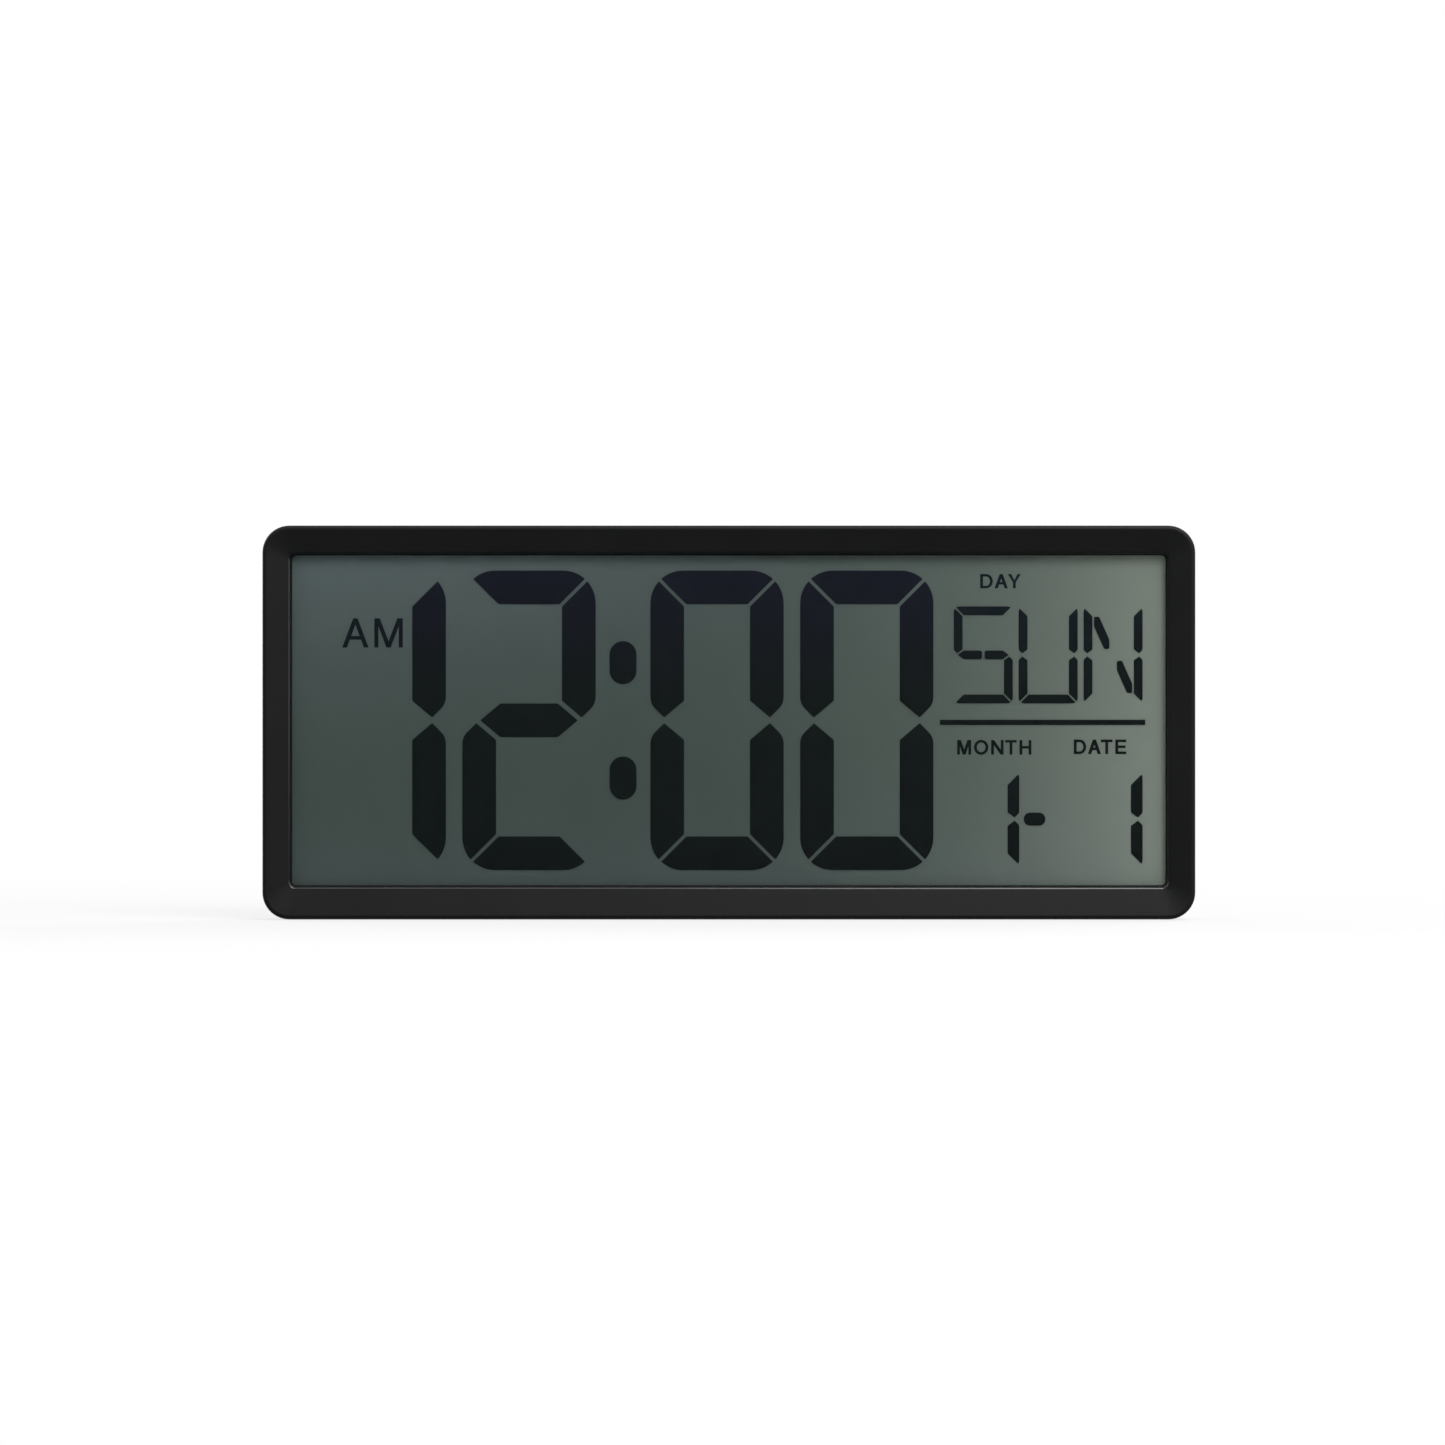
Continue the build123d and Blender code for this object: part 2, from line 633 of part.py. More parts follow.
def make_front_frame():
    """Shell with an inward bevel that falls from the rim to the window, and a drafted window wall."""
    shell = slab(frame_rect(0, CORNER_R), FRONT, SPLIT)
    rim = shell.edges().group_by(Axis.Y)[0]
    shell = fillet(rim, EDGE_R)
    shell -= slab(frame_rect(WALL, CORNER_R - WALL), LENS_FRONT, SPLIT)
    lip_y = FRONT + FACE_DROP
    rim_rect = frame_rect(RIM_W, CORNER_R - RIM_W)
    lip_rect = view_rect(WINDOW_RUN, WINDOW_R + WINDOW_RUN)
    view = view_rect(0, WINDOW_R)
    bevel = loft([outline_face(rim_rect, FRONT), outline_face(lip_rect, lip_y)], ruled=True)
    wall = loft([outline_face(lip_rect, lip_y), outline_face(view, LENS_FRONT)], ruled=True)
    shell -= bevel + wall
    shell = fillet(edges_at(shell, lip_y), LIP_R)
    for x, z in COVER_POINTS:
        shell += post(x, z, BOSS_D, LENS_FRONT, SPLIT)
        shell += wall_web(x, z, LENS_FRONT, SPLIT)
    for x, z in TRAY_POINTS:
        shell += post(x, z, BOSS_D, LENS_FRONT, TRAY_FRONT)
        shell += wall_web(x, z, LENS_FRONT, TRAY_FRONT)
    hook_back = TRAY_BACK + HOOK_T
    hook_top = TRAY_BOTTOM + HOOK_BITE
    for sx in (-1, 1):
        x0 = sx * HOOK_X - HOOK_W / 2
        shell += block(x0, x0 + HOOK_W, TRAY_BACK, hook_back, FLOOR_Z - WALL / 2, hook_top)
    bore_front = SPLIT + COLUMN_FLOOR - SCREW_L - BORE_SPARE
    for x, z in COVER_POINTS:
        shell -= post(x, z, SCREW_BORE, bore_front, SPLIT)
    small_front = TRAY_BACK - SMALL_SCREW_L - SMALL_BORE_SPARE
    for x, z in TRAY_POINTS:
        shell -= post(x, z, SMALL_BORE, small_front, TRAY_FRONT)
    return shell


def edges_at(solid, y):
    """Edges of a solid that lie wholly at one depth."""
    found = []
    for edge in solid.edges():
        reach = edge.bounding_box()
        if abs(reach.min.Y - y) < SAME and abs(reach.max.Y - y) < SAME:
            found.append(edge)
    return found


def wall_web(x, z, front, back):
    """Web that ties a boss to the nearest wall."""
    half = WEB_W / 2
    if z > TOP_BOSS_Z - SAME:
        return block(x - half, x + half, front, back, z, CASE_H / 2 - WALL / 2)
    side = 1 if x > 0 else -1
    near = side * (CASE_W / 2 - WALL / 2)
    return block(min(x, near), max(x, near), front, back, z - half, z + half)


def make_tray():
    """Plate behind the glass, hooked below and screwed above, with posts for the main board."""
    half_w = VIEW_W / 2 + LENS_LAP
    top = VIEW_TOP + GLASS_LAP
    plate = block(-half_w, half_w, TRAY_FRONT, TRAY_BACK, TRAY_BOTTOM, top)
    for x, z in TRAY_POINTS:
        x0 = x - TRAY_EAR_W / 2
        plate += block(x0, x0 + TRAY_EAR_W, TRAY_FRONT, TRAY_BACK, top - TRAY_EDGE, z + BOSS_D / 2)
    field_w = VIEW_W - 2 * TRAY_BAR
    pitch = (field_w + TRAY_BAR) / TRAY_WINDOWS
    for i in range(TRAY_WINDOWS):
        x = (i - (TRAY_WINDOWS - 1) / 2) * pitch
        hole = RectangleRounded(pitch - TRAY_BAR, TRAY_FIELD_H, TRAY_HOLE_R)
        plate -= slab(Pos(x, VIEW_Z + TRAY_FIELD_RISE) * hole, TRAY_FRONT, TRAY_BACK)
    slot = Rectangle(STRIP_L + 2 * STRIP_CLEAR, STRIP_W + 2 * STRIP_CLEAR)
    for sx in (-1, 1):
        plate -= slab(Pos(sx * STRIP_X, STRIP_Z) * slot, TRAY_FRONT, TRAY_BACK)
    for x, z in BOARD_POINTS:
        plate += post(x, z, BOARD_POST_D, TRAY_BACK, BOARD_FRONT)
        plate -= post(x, z, SMALL_BORE, TRAY_FRONT, BOARD_FRONT)
    for x, z in TRAY_POINTS:
        plate -= post(x, z, SMALL_BORE, TRAY_FRONT, TRAY_BACK)
    return plate


def round_end(solid, radius):
    """Rounds the circular edges at a solid's back end."""
    return fillet(solid.edges().filter_by(GeomType.CIRCLE).group_by(Axis.Y)[-1], radius)


def make_crystal(x, z):
    """Quartz can lying on the main board, with its two pins."""
    end = x + CRYSTAL_L / 2
    can = bar(end - CRYSTAL_L, end, BOARD_BACK + CRYSTAL_D / 2, z, CRYSTAL_D / 2)
    for sz in (-1, 1):
        z0 = z + sz * CRYSTAL_PIN_PITCH / 2 - CRYSTAL_PIN_W / 2
        pin_back = BOARD_BACK + CRYSTAL_PIN_H
        can += block(end, end + CRYSTAL_PIN_L, BOARD_BACK, pin_back, z0, z0 + CRYSTAL_PIN_W)
    return can


def make_main_board():
    """Board with its contact strips, controller blob, crystal, capacitors, buzzer and screws."""
    board = slab(Pos(0, BOARD_Z) * RectangleRounded(BOARD_W, BOARD_H, BOARD_R), BOARD_FRONT, BOARD_BACK)
    for x, z in BOARD_POINTS:
        board -= post(x, z, SMALL_BORE, BOARD_FRONT, BOARD_BACK)
    strips = []
    for sx in (-1, 1):
        strip = Pos(sx * STRIP_X, STRIP_Z) * Rectangle(STRIP_L, STRIP_W)
        strips.append(slab(strip, CELL_FRONT, BOARD_FRONT))
    blob_x = -BOARD_W / 4
    dome_r = (BLOB_D * BLOB_D / 4 + BLOB_H * BLOB_H) / (2 * BLOB_H)
    ball = Pos(blob_x, BOARD_BACK + BLOB_H - dome_r, BOARD_Z) * Sphere(dome_r)
    blob = ball & post(blob_x, BOARD_Z, 2 * BLOB_D, BOARD_BACK, BOARD_BACK + BLOB_H)
    cans = []
    for i in range(CAPACITOR_COUNT):
        x = BOARD_W / 4 + i * CAPACITOR_PITCH
        can = post(x, BOARD_Z, CAPACITOR_D, BOARD_BACK, BOARD_BACK + CAPACITOR_H)
        cans.append(round_end(can, CAPACITOR_EDGE_R))
    buzzer_back = BOARD_BACK + BUZZER_H
    buzzer = round_end(post(0, BUZZER_Z, BUZZER_D, BOARD_BACK, buzzer_back), BUZZER_EDGE_R)
    buzzer -= post(0, BUZZER_Z, BUZZER_PORT_D, buzzer_back - BUZZER_PORT_DEPTH, buzzer_back)
    return {
        "main_board": board,
        "contact_strips": Part() + strips,
        "controller_blob": blob,
        "quartz_crystal": make_crystal(blob_x + BLOB_D, BOARD_Z + BLOB_D / 2),
        "capacitors": Part() + cans,
        "buzzer": buzzer,
        "main_board_screws": small_screws(BOARD_POINTS, BOARD_BACK),
    }


def small_screws(points, seat):
    """A small pan head screw at each point, all with their heads on one plane."""
    size = (SMALL_SCREW_L, SMALL_SCREW_D, SMALL_HEAD_D, SMALL_HEAD_H)
    return Part() + [pan_screw(x, z, seat, *size) for x, z in points]


def foot_outline(x):
    """Side of one foot's pocket, as a box in X and Z, without depth."""
    half = FOOT_W / 2 + FOOT_CLEAR
    low = FOOT_AXIS_Z - FOOT_BARREL_R - FOOT_CLEAR
    high = FOOT_AXIS_Z + FOOT_L + FOOT_CLEAR
    return x - half, x + half, low, high


def cut_foot_pocket(cover, x):
    """Pocket for a folded foot, with a finger notch at its free end and pin holes in its cheeks."""
    x0, x1, z0, z1 = foot_outline(x)
    wall = FOOT_POCKET_WALL
    notch_top = z1 + FOOT_NOTCH_H
    notch_half = FOOT_NOTCH_W / 2
    back = -COVER_T / 2
    floor = FOOT_FLOOR - FOOT_POCKET_FLOOR
    cover += block(x0 - wall, x1 + wall, floor, back, z0 - FOOT_POCKET_FLOOR, z1 + FOOT_POCKET_FLOOR)
    cover += block(
        x - notch_half - FOOT_POCKET_FLOOR,
        x + notch_half + FOOT_POCKET_FLOOR,
        floor,
        back,
        z1,
        notch_top + FOOT_POCKET_FLOOR,
    )
    cover -= block(x0, x1, FOOT_FLOOR, 0, z0, z1)
    notch = Pos(x, z1 + FOOT_NOTCH_H / 2 - FOOT_CLEAR) * RectangleRounded(
        FOOT_NOTCH_W, FOOT_NOTCH_H + 2 * FOOT_CLEAR, FOOT_NOTCH_R
    )
    cover -= slab(notch, FOOT_FLOOR, 0)
    pin_r = FOOT_PIN_D / 2 + FOOT_PIN_FIT
    reach = FOOT_PIN_L + FOOT_CLEAR
    cover -= bar(x0 - reach, x1 + reach, FOOT_AXIS_Y, FOOT_AXIS_Z, pin_r)
    return cover


def make_foot(x):
    """Folding foot: a plate on a round barrel with a pin at each end, and a window through the plate."""
    half = FOOT_W / 2
    back = -FOOT_SINK
    tip = FOOT_AXIS_Z + FOOT_L
    plate = block(x - half, x + half, back - FOOT_T, back, FOOT_AXIS_Z, tip)
    plate = fillet(plate.edges().filter_by(Axis.Y).group_by(Axis.Z)[-1], FOOT_TIP_R)
    hole = RectangleRounded(FOOT_WINDOW_W, FOOT_WINDOW_L, FOOT_WINDOW_R)
    plate -= slab(Pos(x, FOOT_AXIS_Z + FOOT_L / 2) * hole, back - FOOT_T, back)
    rims = edges_at(plate, back) + edges_at(plate, back - FOOT_T)
    hinge_line = [e for e in rims if e.bounding_box().max.Z < FOOT_AXIS_Z + SAME]
    plate = fillet([e for e in rims if e not in hinge_line], FOOT_EDGE_R)
    plate += bar(x - half, x + half, FOOT_AXIS_Y, FOOT_AXIS_Z, FOOT_BARREL_R)
    plate += bar(x - half - FOOT_PIN_L, x + half + FOOT_PIN_L, FOOT_AXIS_Y, FOOT_AXIS_Z, FOOT_PIN_D / 2)
    return plate


def cut_keyhole(cover, x):
    """Keyhole with a closed cup behind it, its slot running up from the entry hole."""
    half = KEYHOLE_CUP_W / 2
    low = KEYHOLE_Z - half
    high = KEYHOLE_Z + KEYHOLE_RISE + half
    wall = KEYHOLE_CUP_WALL
    front = -COVER_T - KEYHOLE_CUP_DEPTH
    cover += block(x - half - wall, x + half + wall, front - wall, -COVER_T / 2, low - wall, high + wall)
    cover -= block(x - half, x + half, front, -COVER_T, low, high)
    cover -= post(x, KEYHOLE_Z, KEYHOLE_D, -COVER_T, 0)
    slot_half = KEYHOLE_SLOT_W / 2
    cover -= block(x - slot_half, x + slot_half, -COVER_T, 0, KEYHOLE_Z, KEYHOLE_Z + KEYHOLE_RISE)
    cover -= post(x, KEYHOLE_Z + KEYHOLE_RISE, KEYHOLE_SLOT_W, -COVER_T, 0)
    return cover


def cut_battery_bay(cover):
    """Box for two cells lying head to tail, with the lid's rebate, its hinge groove and a thumb scoop."""
    x0 = BAY_X - BAY_L / 2
    x1 = BAY_X + BAY_L / 2
    z0 = BAY_Z - BAY_W / 2
    z1 = BAY_Z + BAY_W / 2
    wall = BAY_WALL
    cover += block(x0 - wall, x1 + wall, BAY_FLOOR - BAY_FLOOR_T, -COVER_T / 2, z0 - wall, z1 + wall)
    pad_front = LID_FRONT - LID_PAD_T
    margin = LID_PAD_MARGIN
    scoop = SCOOP_R + BAY_WALL
    cover += block(
        BAY_X - LID_L / 2 - margin,
        BAY_X + LID_L / 2 + margin,
        pad_front,
        -COVER_T / 2,
        LID_BOTTOM - scoop,
        BAY_Z + LID_W / 2 + margin,
    )
    gap = LID_CLEAR
    rebate_x0 = BAY_X - LID_L / 2 - gap
    rebate_x1 = BAY_X + LID_L / 2 + gap
    cover -= block(rebate_x0, rebate_x1, LID_FRONT, 0, LID_BOTTOM - gap, LID_AXIS_Z)
    groove = LID_KNUCKLE_R + gap
    cover -= bar(rebate_x0, rebate_x1, LID_AXIS_Y, LID_AXIS_Z, groove)
    cover -= block(rebate_x0, rebate_x1, LID_AXIS_Y, 0, LID_AXIS_Z, LID_AXIS_Z + groove)
    scoop_cut = post(BAY_X, LID_BOTTOM, 2 * SCOOP_R, -SCOOP_DEPTH, 0)
    scoop_cut -= block(rebate_x0, rebate_x1, -CASE_D, CASE_D, LID_BOTTOM, LID_AXIS_Z + CASE_H)
    cover -= scoop_cut
    cover -= block(x0, x1, BAY_FLOOR, 0, z0, z1)
    pin_r = LID_PIN_D / 2 + LID_PIN_FIT
    reach = LID_PIN_L + gap
    cover -= bar(rebate_x0 - reach, rebate_x1 + reach, LID_AXIS_Y, LID_AXIS_Z, pin_r)
    tab_half = CONTACT_TAB_W / 2 + SCREW_FIT
    slit_half = CONTACT_T / 2 + SCREW_FIT
    for z, _ in contact_tabs():
        tab_front = BATTERY_Y - tab_half
        tab_back = BATTERY_Y + tab_half
        cover -= block(x0 - wall, x0, tab_front, tab_back, z - slit_half, z + slit_half)
    return cover


def contact_tabs():
    """Height of each solder tab, and how much further than the first it reaches."""
    return [(BAY_Z - BATTERY_RISE, 0.0), (BAY_Z + BATTERY_RISE, CONTACT_TAB_STEP)]


def make_battery(z, plus_side):
    """Plain AA cell lying along X, its nub towards the plus side."""
    can_l = BATTERY_L - BATTERY_NUB_L
    x0 = BAY_X - BAY_L / 2
    start = x0 + MINUS_SPACE if plus_side > 0 else x0 + PLUS_SPACE + BATTERY_NUB_L
    can = bar(start, start + can_l, BATTERY_Y, z, BATTERY_D / 2)
    can = fillet(can.edges().filter_by(GeomType.CIRCLE), BATTERY_EDGE_R)
    if plus_side > 0:
        can += bar(start + can_l, start + can_l + BATTERY_NUB_L, BATTERY_Y, z, BATTERY_NUB_D / 2)
    else:
        can += bar(start - BATTERY_NUB_L, start, BATTERY_Y, z, BATTERY_NUB_D / 2)
    return can


def contact_plate(end, z):
    """Flat sheet standing against one end wall of the bay."""
    x = BAY_X + end * BAY_L / 2
    inner = x - end * CONTACT_T
    front = BATTERY_Y - CONTACT_H / 2
    low = z - CONTACT_W / 2
    return block(min(x, inner), max(x, inner), front, front + CONTACT_H, low, low + CONTACT_W)


def contact_bump(end, z):
    """Raised round on the plate that meets a cell's nub."""
    x = BAY_X + end * (BAY_L / 2 - CONTACT_T)
    inner = BAY_X + end * (BAY_L / 2 - PLUS_SPACE)
    return bar(min(x, inner), max(x, inner), BATTERY_Y, z, CONTACT_BUMP_D / 2)


def contact_leaf(end, z):
    """Bowed leaf on the plate that presses on a cell's flat end."""
    x = BAY_X + end * (BAY_L / 2 - CONTACT_T)
    outer = MINUS_SPACE - CONTACT_T
    ring = Circle(outer) - Circle(outer - CONTACT_T)
    half = ring & (Pos(-end * outer, 0) * Rectangle(2 * outer, 2 * outer))
    plane = Plane(origin=(x, BATTERY_Y, z - CONTACT_LEAF_W / 2))
    return extrude(plane * half, amount=CONTACT_LEAF_W)


def contact_tab(z, step):
    """Solder tab that runs out through the bay wall."""
    x = BAY_X - BAY_L / 2
    return block(
        x - CONTACT_TAB_L - step,
        x,
        BATTERY_Y - CONTACT_TAB_W / 2,
        BATTERY_Y + CONTACT_TAB_W / 2,
        z - CONTACT_T / 2,
        z + CONTACT_T / 2,
    )


def make_lead(z, step):
    """Battery lead from a solder tab down to the main board."""
    x = BAY_X - BAY_L / 2 - CONTACT_TAB_L - step + LEAD_D
    start = z - CONTACT_T / 2
    foot_z = BOARD_Z + BOARD_H / 4
    route = FilletPolyline(
        (x, BATTERY_Y, start), (x, BATTERY_Y, foot_z), (x, BOARD_BACK, foot_z), radius=LEAD_BEND_R
    )
    section = Plane(origin=(x, BATTERY_Y, start), z_dir=(0, 0, -1)) * Circle(LEAD_D / 2)
    return sweep(section, path=route)


def make_power():
    """Two cells head to tail, their contacts, their leads and the lid over them."""
    low = BAY_Z - BATTERY_RISE
    high = BAY_Z + BATTERY_RISE
    x = BAY_X + BAY_L / 2
    waist = CONTACT_H / 4
    bridge = contact_plate(1, high) + contact_bump(1, high)
    bridge += contact_plate(1, low) + contact_leaf(1, low)
    bridge += block(x - CONTACT_T, x, BATTERY_Y - waist, BATTERY_Y + waist, low, high)
    (low_z, low_step), (high_z, high_step) = contact_tabs()
    negative = contact_plate(-1, high) + contact_leaf(-1, high) + contact_tab(high_z, high_step)
    positive = contact_plate(-1, low) + contact_bump(-1, low) + contact_tab(low_z, low_step)
    return {
        "battery_upper": make_battery(high, 1),
        "battery_lower": make_battery(low, -1),
        "contact_bridge": bridge,
        "contact_negative": negative,
        "contact_positive": positive,
        "lead_negative": make_lead(high_z, high_step),
        "lead_positive": make_lead(low_z, low_step),
        "battery_lid": make_lid(),
    }


def make_lid():
    """Hinged lid with a knuckle and two pins along its top, and a slit finger along its bottom."""
    x0 = BAY_X - LID_L / 2
    x1 = BAY_X + LID_L / 2
    lid = block(x0, x1, LID_FRONT, -LID_SINK, LID_BOTTOM, LID_AXIS_Z)
    corners = lid.edges().filter_by(Axis.Y).group_by(Axis.Z)[0]
    lid = fillet(corners, LID_CORNER_R)
    rim = edges_at(lid, -LID_SINK)
    lid = fillet([e for e in rim if e.bounding_box().min.Z < LID_AXIS_Z - SAME], LID_EDGE_R)
    lid += bar(x0, x1, LID_AXIS_Y, LID_AXIS_Z, LID_KNUCKLE_R)
    lid += bar(x0 - LID_PIN_L, x1 + LID_PIN_L, LID_AXIS_Y, LID_AXIS_Z, LID_PIN_D / 2)
    for s in (-1, 1):
        slit_x = BAY_X + s * (LID_FINGER_W + LID_SLIT_W) / 2 - LID_SLIT_W / 2
        slit_top = LID_BOTTOM + LID_FINGER_L
        lid -= block(slit_x, slit_x + LID_SLIT_W, LID_FRONT, -LID_SINK, LID_BOTTOM, slit_top)
    half = LID_FINGER_W / 2 - LID_SLIT_W
    grip_front = -LID_SINK - LID_GRIP_DEPTH
    groove = LID_GRIP_PITCH / 4
    for i in range(LID_GRIPS):
        z = LID_BOTTOM + (i + 1) * LID_GRIP_PITCH
        lid -= block(BAY_X - half, BAY_X + half, grip_front, -LID_SINK, z - groove, z + groove)
    return lid


def cut_key_panel(cover):
    """Sunk panel with a round hole for each button, and posts for the key board."""
    half = KEY_SPAN / 2 + PANEL_MARGIN
    pad = PANEL_T
    cover += block(
        KEY_ROW_X - half - pad,
        KEY_ROW_X + half + pad,
        PANEL_INNER,
        -COVER_T / 2,
        PANEL_Z - PANEL_H / 2 - pad,
        PANEL_Z + PANEL_H / 2 + pad,
    )
    panel = Pos(KEY_ROW_X, PANEL_Z) * RectangleRounded(2 * half, PANEL_H, PANEL_R)
    cover -= slab(panel, PANEL_FLOOR, 0)
    for x in KEY_XS:
        cover -= post(x, KEY_ROW_Z, KEY_D + 2 * KEY_CLEAR, PANEL_INNER, PANEL_FLOOR)
    for x, z in KEY_POINTS:
        cover += post(x, z, KEY_POST_D, KEY_BOARD_BACK, -COVER_T)
        cover -= post(x, z, SMALL_BORE, KEY_BOARD_BACK, KEY_BOARD_BACK + SMALL_SCREW_L)
    return cover


def make_button(x):
    """Round button with a flange that keeps it behind the panel and a stem that meets its plunger."""
    cap = round_end(post(x, KEY_ROW_Z, KEY_D, FLANGE_BACK, PANEL_FLOOR + KEY_PROUD), KEY_EDGE_R)
    cap += post(x, KEY_ROW_Z, KEY_FLANGE_D, FLANGE_FRONT, FLANGE_BACK)
    cap += post(x, KEY_ROW_Z, KEY_STEM_D, PLUNGER_BACK, FLANGE_FRONT)
    return cap


def make_plunger(x):
    """Round plunger, partly sunk in its switch."""
    return post(x, KEY_ROW_Z, PLUNGER_D, SWITCH_BACK - PLUNGER_DEPTH, PLUNGER_BACK)


def make_keys():
    """Key board with its switches, screws and ribbon, and a button and plunger for each switch."""
    half = SWITCH_SIZE / 2
    well_front = SWITCH_BACK - PLUNGER_DEPTH - KEY_TRAVEL - PLUNGER_FIT
    bodies = []
    for x in KEY_XS:
        body = block(x - half, x + half, KEY_BOARD_BACK, SWITCH_BACK, KEY_ROW_Z - half, KEY_ROW_Z + half)
        body -= post(x, KEY_ROW_Z, PLUNGER_D + 2 * PLUNGER_FIT, well_front, SWITCH_BACK)
        bodies.append(body)
    outline = Pos(KEY_ROW_X, KEY_ROW_Z) * RectangleRounded(KEY_BOARD_W, KEY_BOARD_H, BOARD_R)
    board = slab(outline, KEY_BOARD_FRONT, KEY_BOARD_BACK)
    screw = small_screws([(0, 0)], 0)
    screws = []
    for x, z in KEY_POINTS:
        board -= post(x, z, SMALL_BORE, KEY_BOARD_FRONT, KEY_BOARD_BACK)
        screws.append(Pos(x, KEY_BOARD_FRONT, z) * Rot(180, 0, 0) * screw)
    nodes = {
        "key_board": board,
        "key_switches": Part() + bodies,
        "key_board_screws": Part() + screws,
        "key_ribbon": make_ribbon(),
    }
    for name, x in zip(KEY_NAMES, KEY_XS):
        nodes[name + "_button"] = make_button(x)
        nodes[name + "_plunger"] = make_plunger(x)
    return nodes


def make_ribbon():
    """Flat ribbon from the front of the key board down to the back of the main board."""
    x = KEY_ROW_X + RIBBON_STEP
    edge_top = KEY_ROW_Z - KEY_BOARD_H / 2
    edge_low = BOARD_Z + BOARD_H / 2
    top = edge_top + RIBBON_TOP_LAP
    bend = edge_top - RIBBON_DROP
    rest = edge_low + RIBBON_RISE
    low = edge_low - RIBBON_LOW_LAP
    y_top = KEY_BOARD_FRONT - RIBBON_T / 2
    y_low = BOARD_BACK + RIBBON_T / 2
    line = FilletPolyline((y_top, top), (y_top, bend), (y_low, rest), (y_low, low), radius=RIBBON_BEND_R)
    band = trace(line, RIBBON_T)
    plane = Plane(origin=(x - RIBBON_W / 2, 0, 0), x_dir=(0, 1, 0), z_dir=(1, 0, 0))
    return extrude(plane * band, amount=RIBBON_W)


def make_rear_cover():
    """Shallow tub that closes the back, with a lip that registers inside the front frame."""
    outer = frame_rect(COVER_INSET, CORNER_R - COVER_INSET)
    tub = slab(outer, SPLIT, 0)
    tub = fillet(tub.edges().group_by(Axis.Y)[-1], COVER_EDGE_R)
    inner_inset = COVER_INSET + COVER_WALL
    tub -= slab(frame_rect(inner_inset, CORNER_R - inner_inset), SPLIT, -COVER_T)
    inner = frame_rect(inner_inset, CORNER_R - inner_inset)
    lip_inset = inner_inset - LIP_T
    lip = slab(frame_rect(lip_inset, CORNER_R - lip_inset) - inner, SPLIT - LIP_H, SPLIT + COVER_T)
    notch = BOSS_D + 2 * LIP_NOTCH_CLEAR
    for x, z in COVER_POINTS:
        lip -= Pos(x, SPLIT - LIP_H / 2, z) * Box(notch, LIP_H, notch)
        lip -= lip_gap(x, z, notch)
    cover = tub + lip
    rib_half = CASE_W / 2 - lip_inset - LIP_T / 2
    rib_z = KEYHOLE_Z - KEYHOLE_CUP_W
    cover += block(-rib_half, rib_half, -COVER_T - RIB_H, -COVER_T, rib_z - RIB_T / 2, rib_z + RIB_T / 2)
    for x, z in COVER_POINTS:
        cover += post(x, z, COLUMN_D, SPLIT, -COVER_T / 2)
    for x, z in COVER_POINTS:
        cover -= post(x, z, HEAD_BORE_D, SPLIT + COLUMN_FLOOR, 0)
        cover -= post(x, z, SCREW_BORE, SPLIT, SPLIT + COLUMN_FLOOR)
    for sx in (-1, 1):
        cover = cut_foot_pocket(cover, sx * FOOT_X)
        cover = cut_keyhole(cover, sx * KEYHOLE_X)
    cover = cut_battery_bay(cover)
    cover = cut_key_panel(cover)
    for i in range(SOUND_SLOTS):
        offset = (i - (SOUND_SLOTS - 1) / 2) * SOUND_PITCH
        length = 2 * sqrt(SOUND_D * SOUND_D / 4 - offset * offset)
        slot = Pos(0, BUZZER_Z + offset) * SlotOverall(length, SOUND_SLOT_W)
        cover -= slab(slot, -COVER_T, 0)
    return break_edges(cover)


def break_edges(cover):
    """Small chamfer round every opening in the flat back, apart from the keyholes."""
    back = cover.faces().filter_by(Axis.Y).sort_by(Axis.Y)[-1]
    rims = []
    for loop in back.inner_wires():
        middle = loop.center()
        if hypot(abs(middle.X) - KEYHOLE_X, middle.Z - KEYHOLE_Z) > KEYHOLE_CUP_W:
            rims += loop.edges()
    return chamfer(rims, EDGE_BREAK)


def lip_gap(x, z, width):
    """Room in the cover's lip for the web between a boss and its wall."""
    y = SPLIT - LIP_H / 2
    if z > TOP_BOSS_Z - SAME:
        return Pos(x, y, z + BOSS_D / 2) * Box(width, LIP_H, BOSS_D)
    side = 1 if x > 0 else -1
    return Pos(x + side * BOSS_D / 2, y, z) * Box(BOSS_D, LIP_H, width)


def make_fasteners():
    """Screws that hold the rear cover and the display tray to the front frame."""
    size = (SCREW_L, SCREW_D, SCREW_HEAD_D, SCREW_HEAD_H)
    cover_screws = [pan_screw(x, z, SPLIT + COLUMN_FLOOR, *size) for x, z in COVER_POINTS]
    return {
        "cover_screws": Part() + cover_screws,
        "tray_screws": small_screws(TRAY_POINTS, TRAY_BACK),
    }


def build_nodes():
    """Every node of the clock by its name."""
    nodes = {
        "front_frame": make_front_frame(),
        "rear_cover": make_rear_cover(),
        "display_tray": make_tray(),
    }
    nodes.update(make_display())
    nodes.update(make_segments())
    nodes.update(make_main_board())
    nodes.update(make_power())
    nodes.update(make_keys())
    nodes.update(make_fasteners())
    nodes["left_foot"] = make_foot(-FOOT_X)
    nodes["right_foot"] = make_foot(FOOT_X)
    return nodes


os.makedirs("parts", exist_ok=True)
for node_name, shape in build_nodes().items():
    export_step(shape, os.path.join("parts", node_name + ".step"))
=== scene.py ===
import math

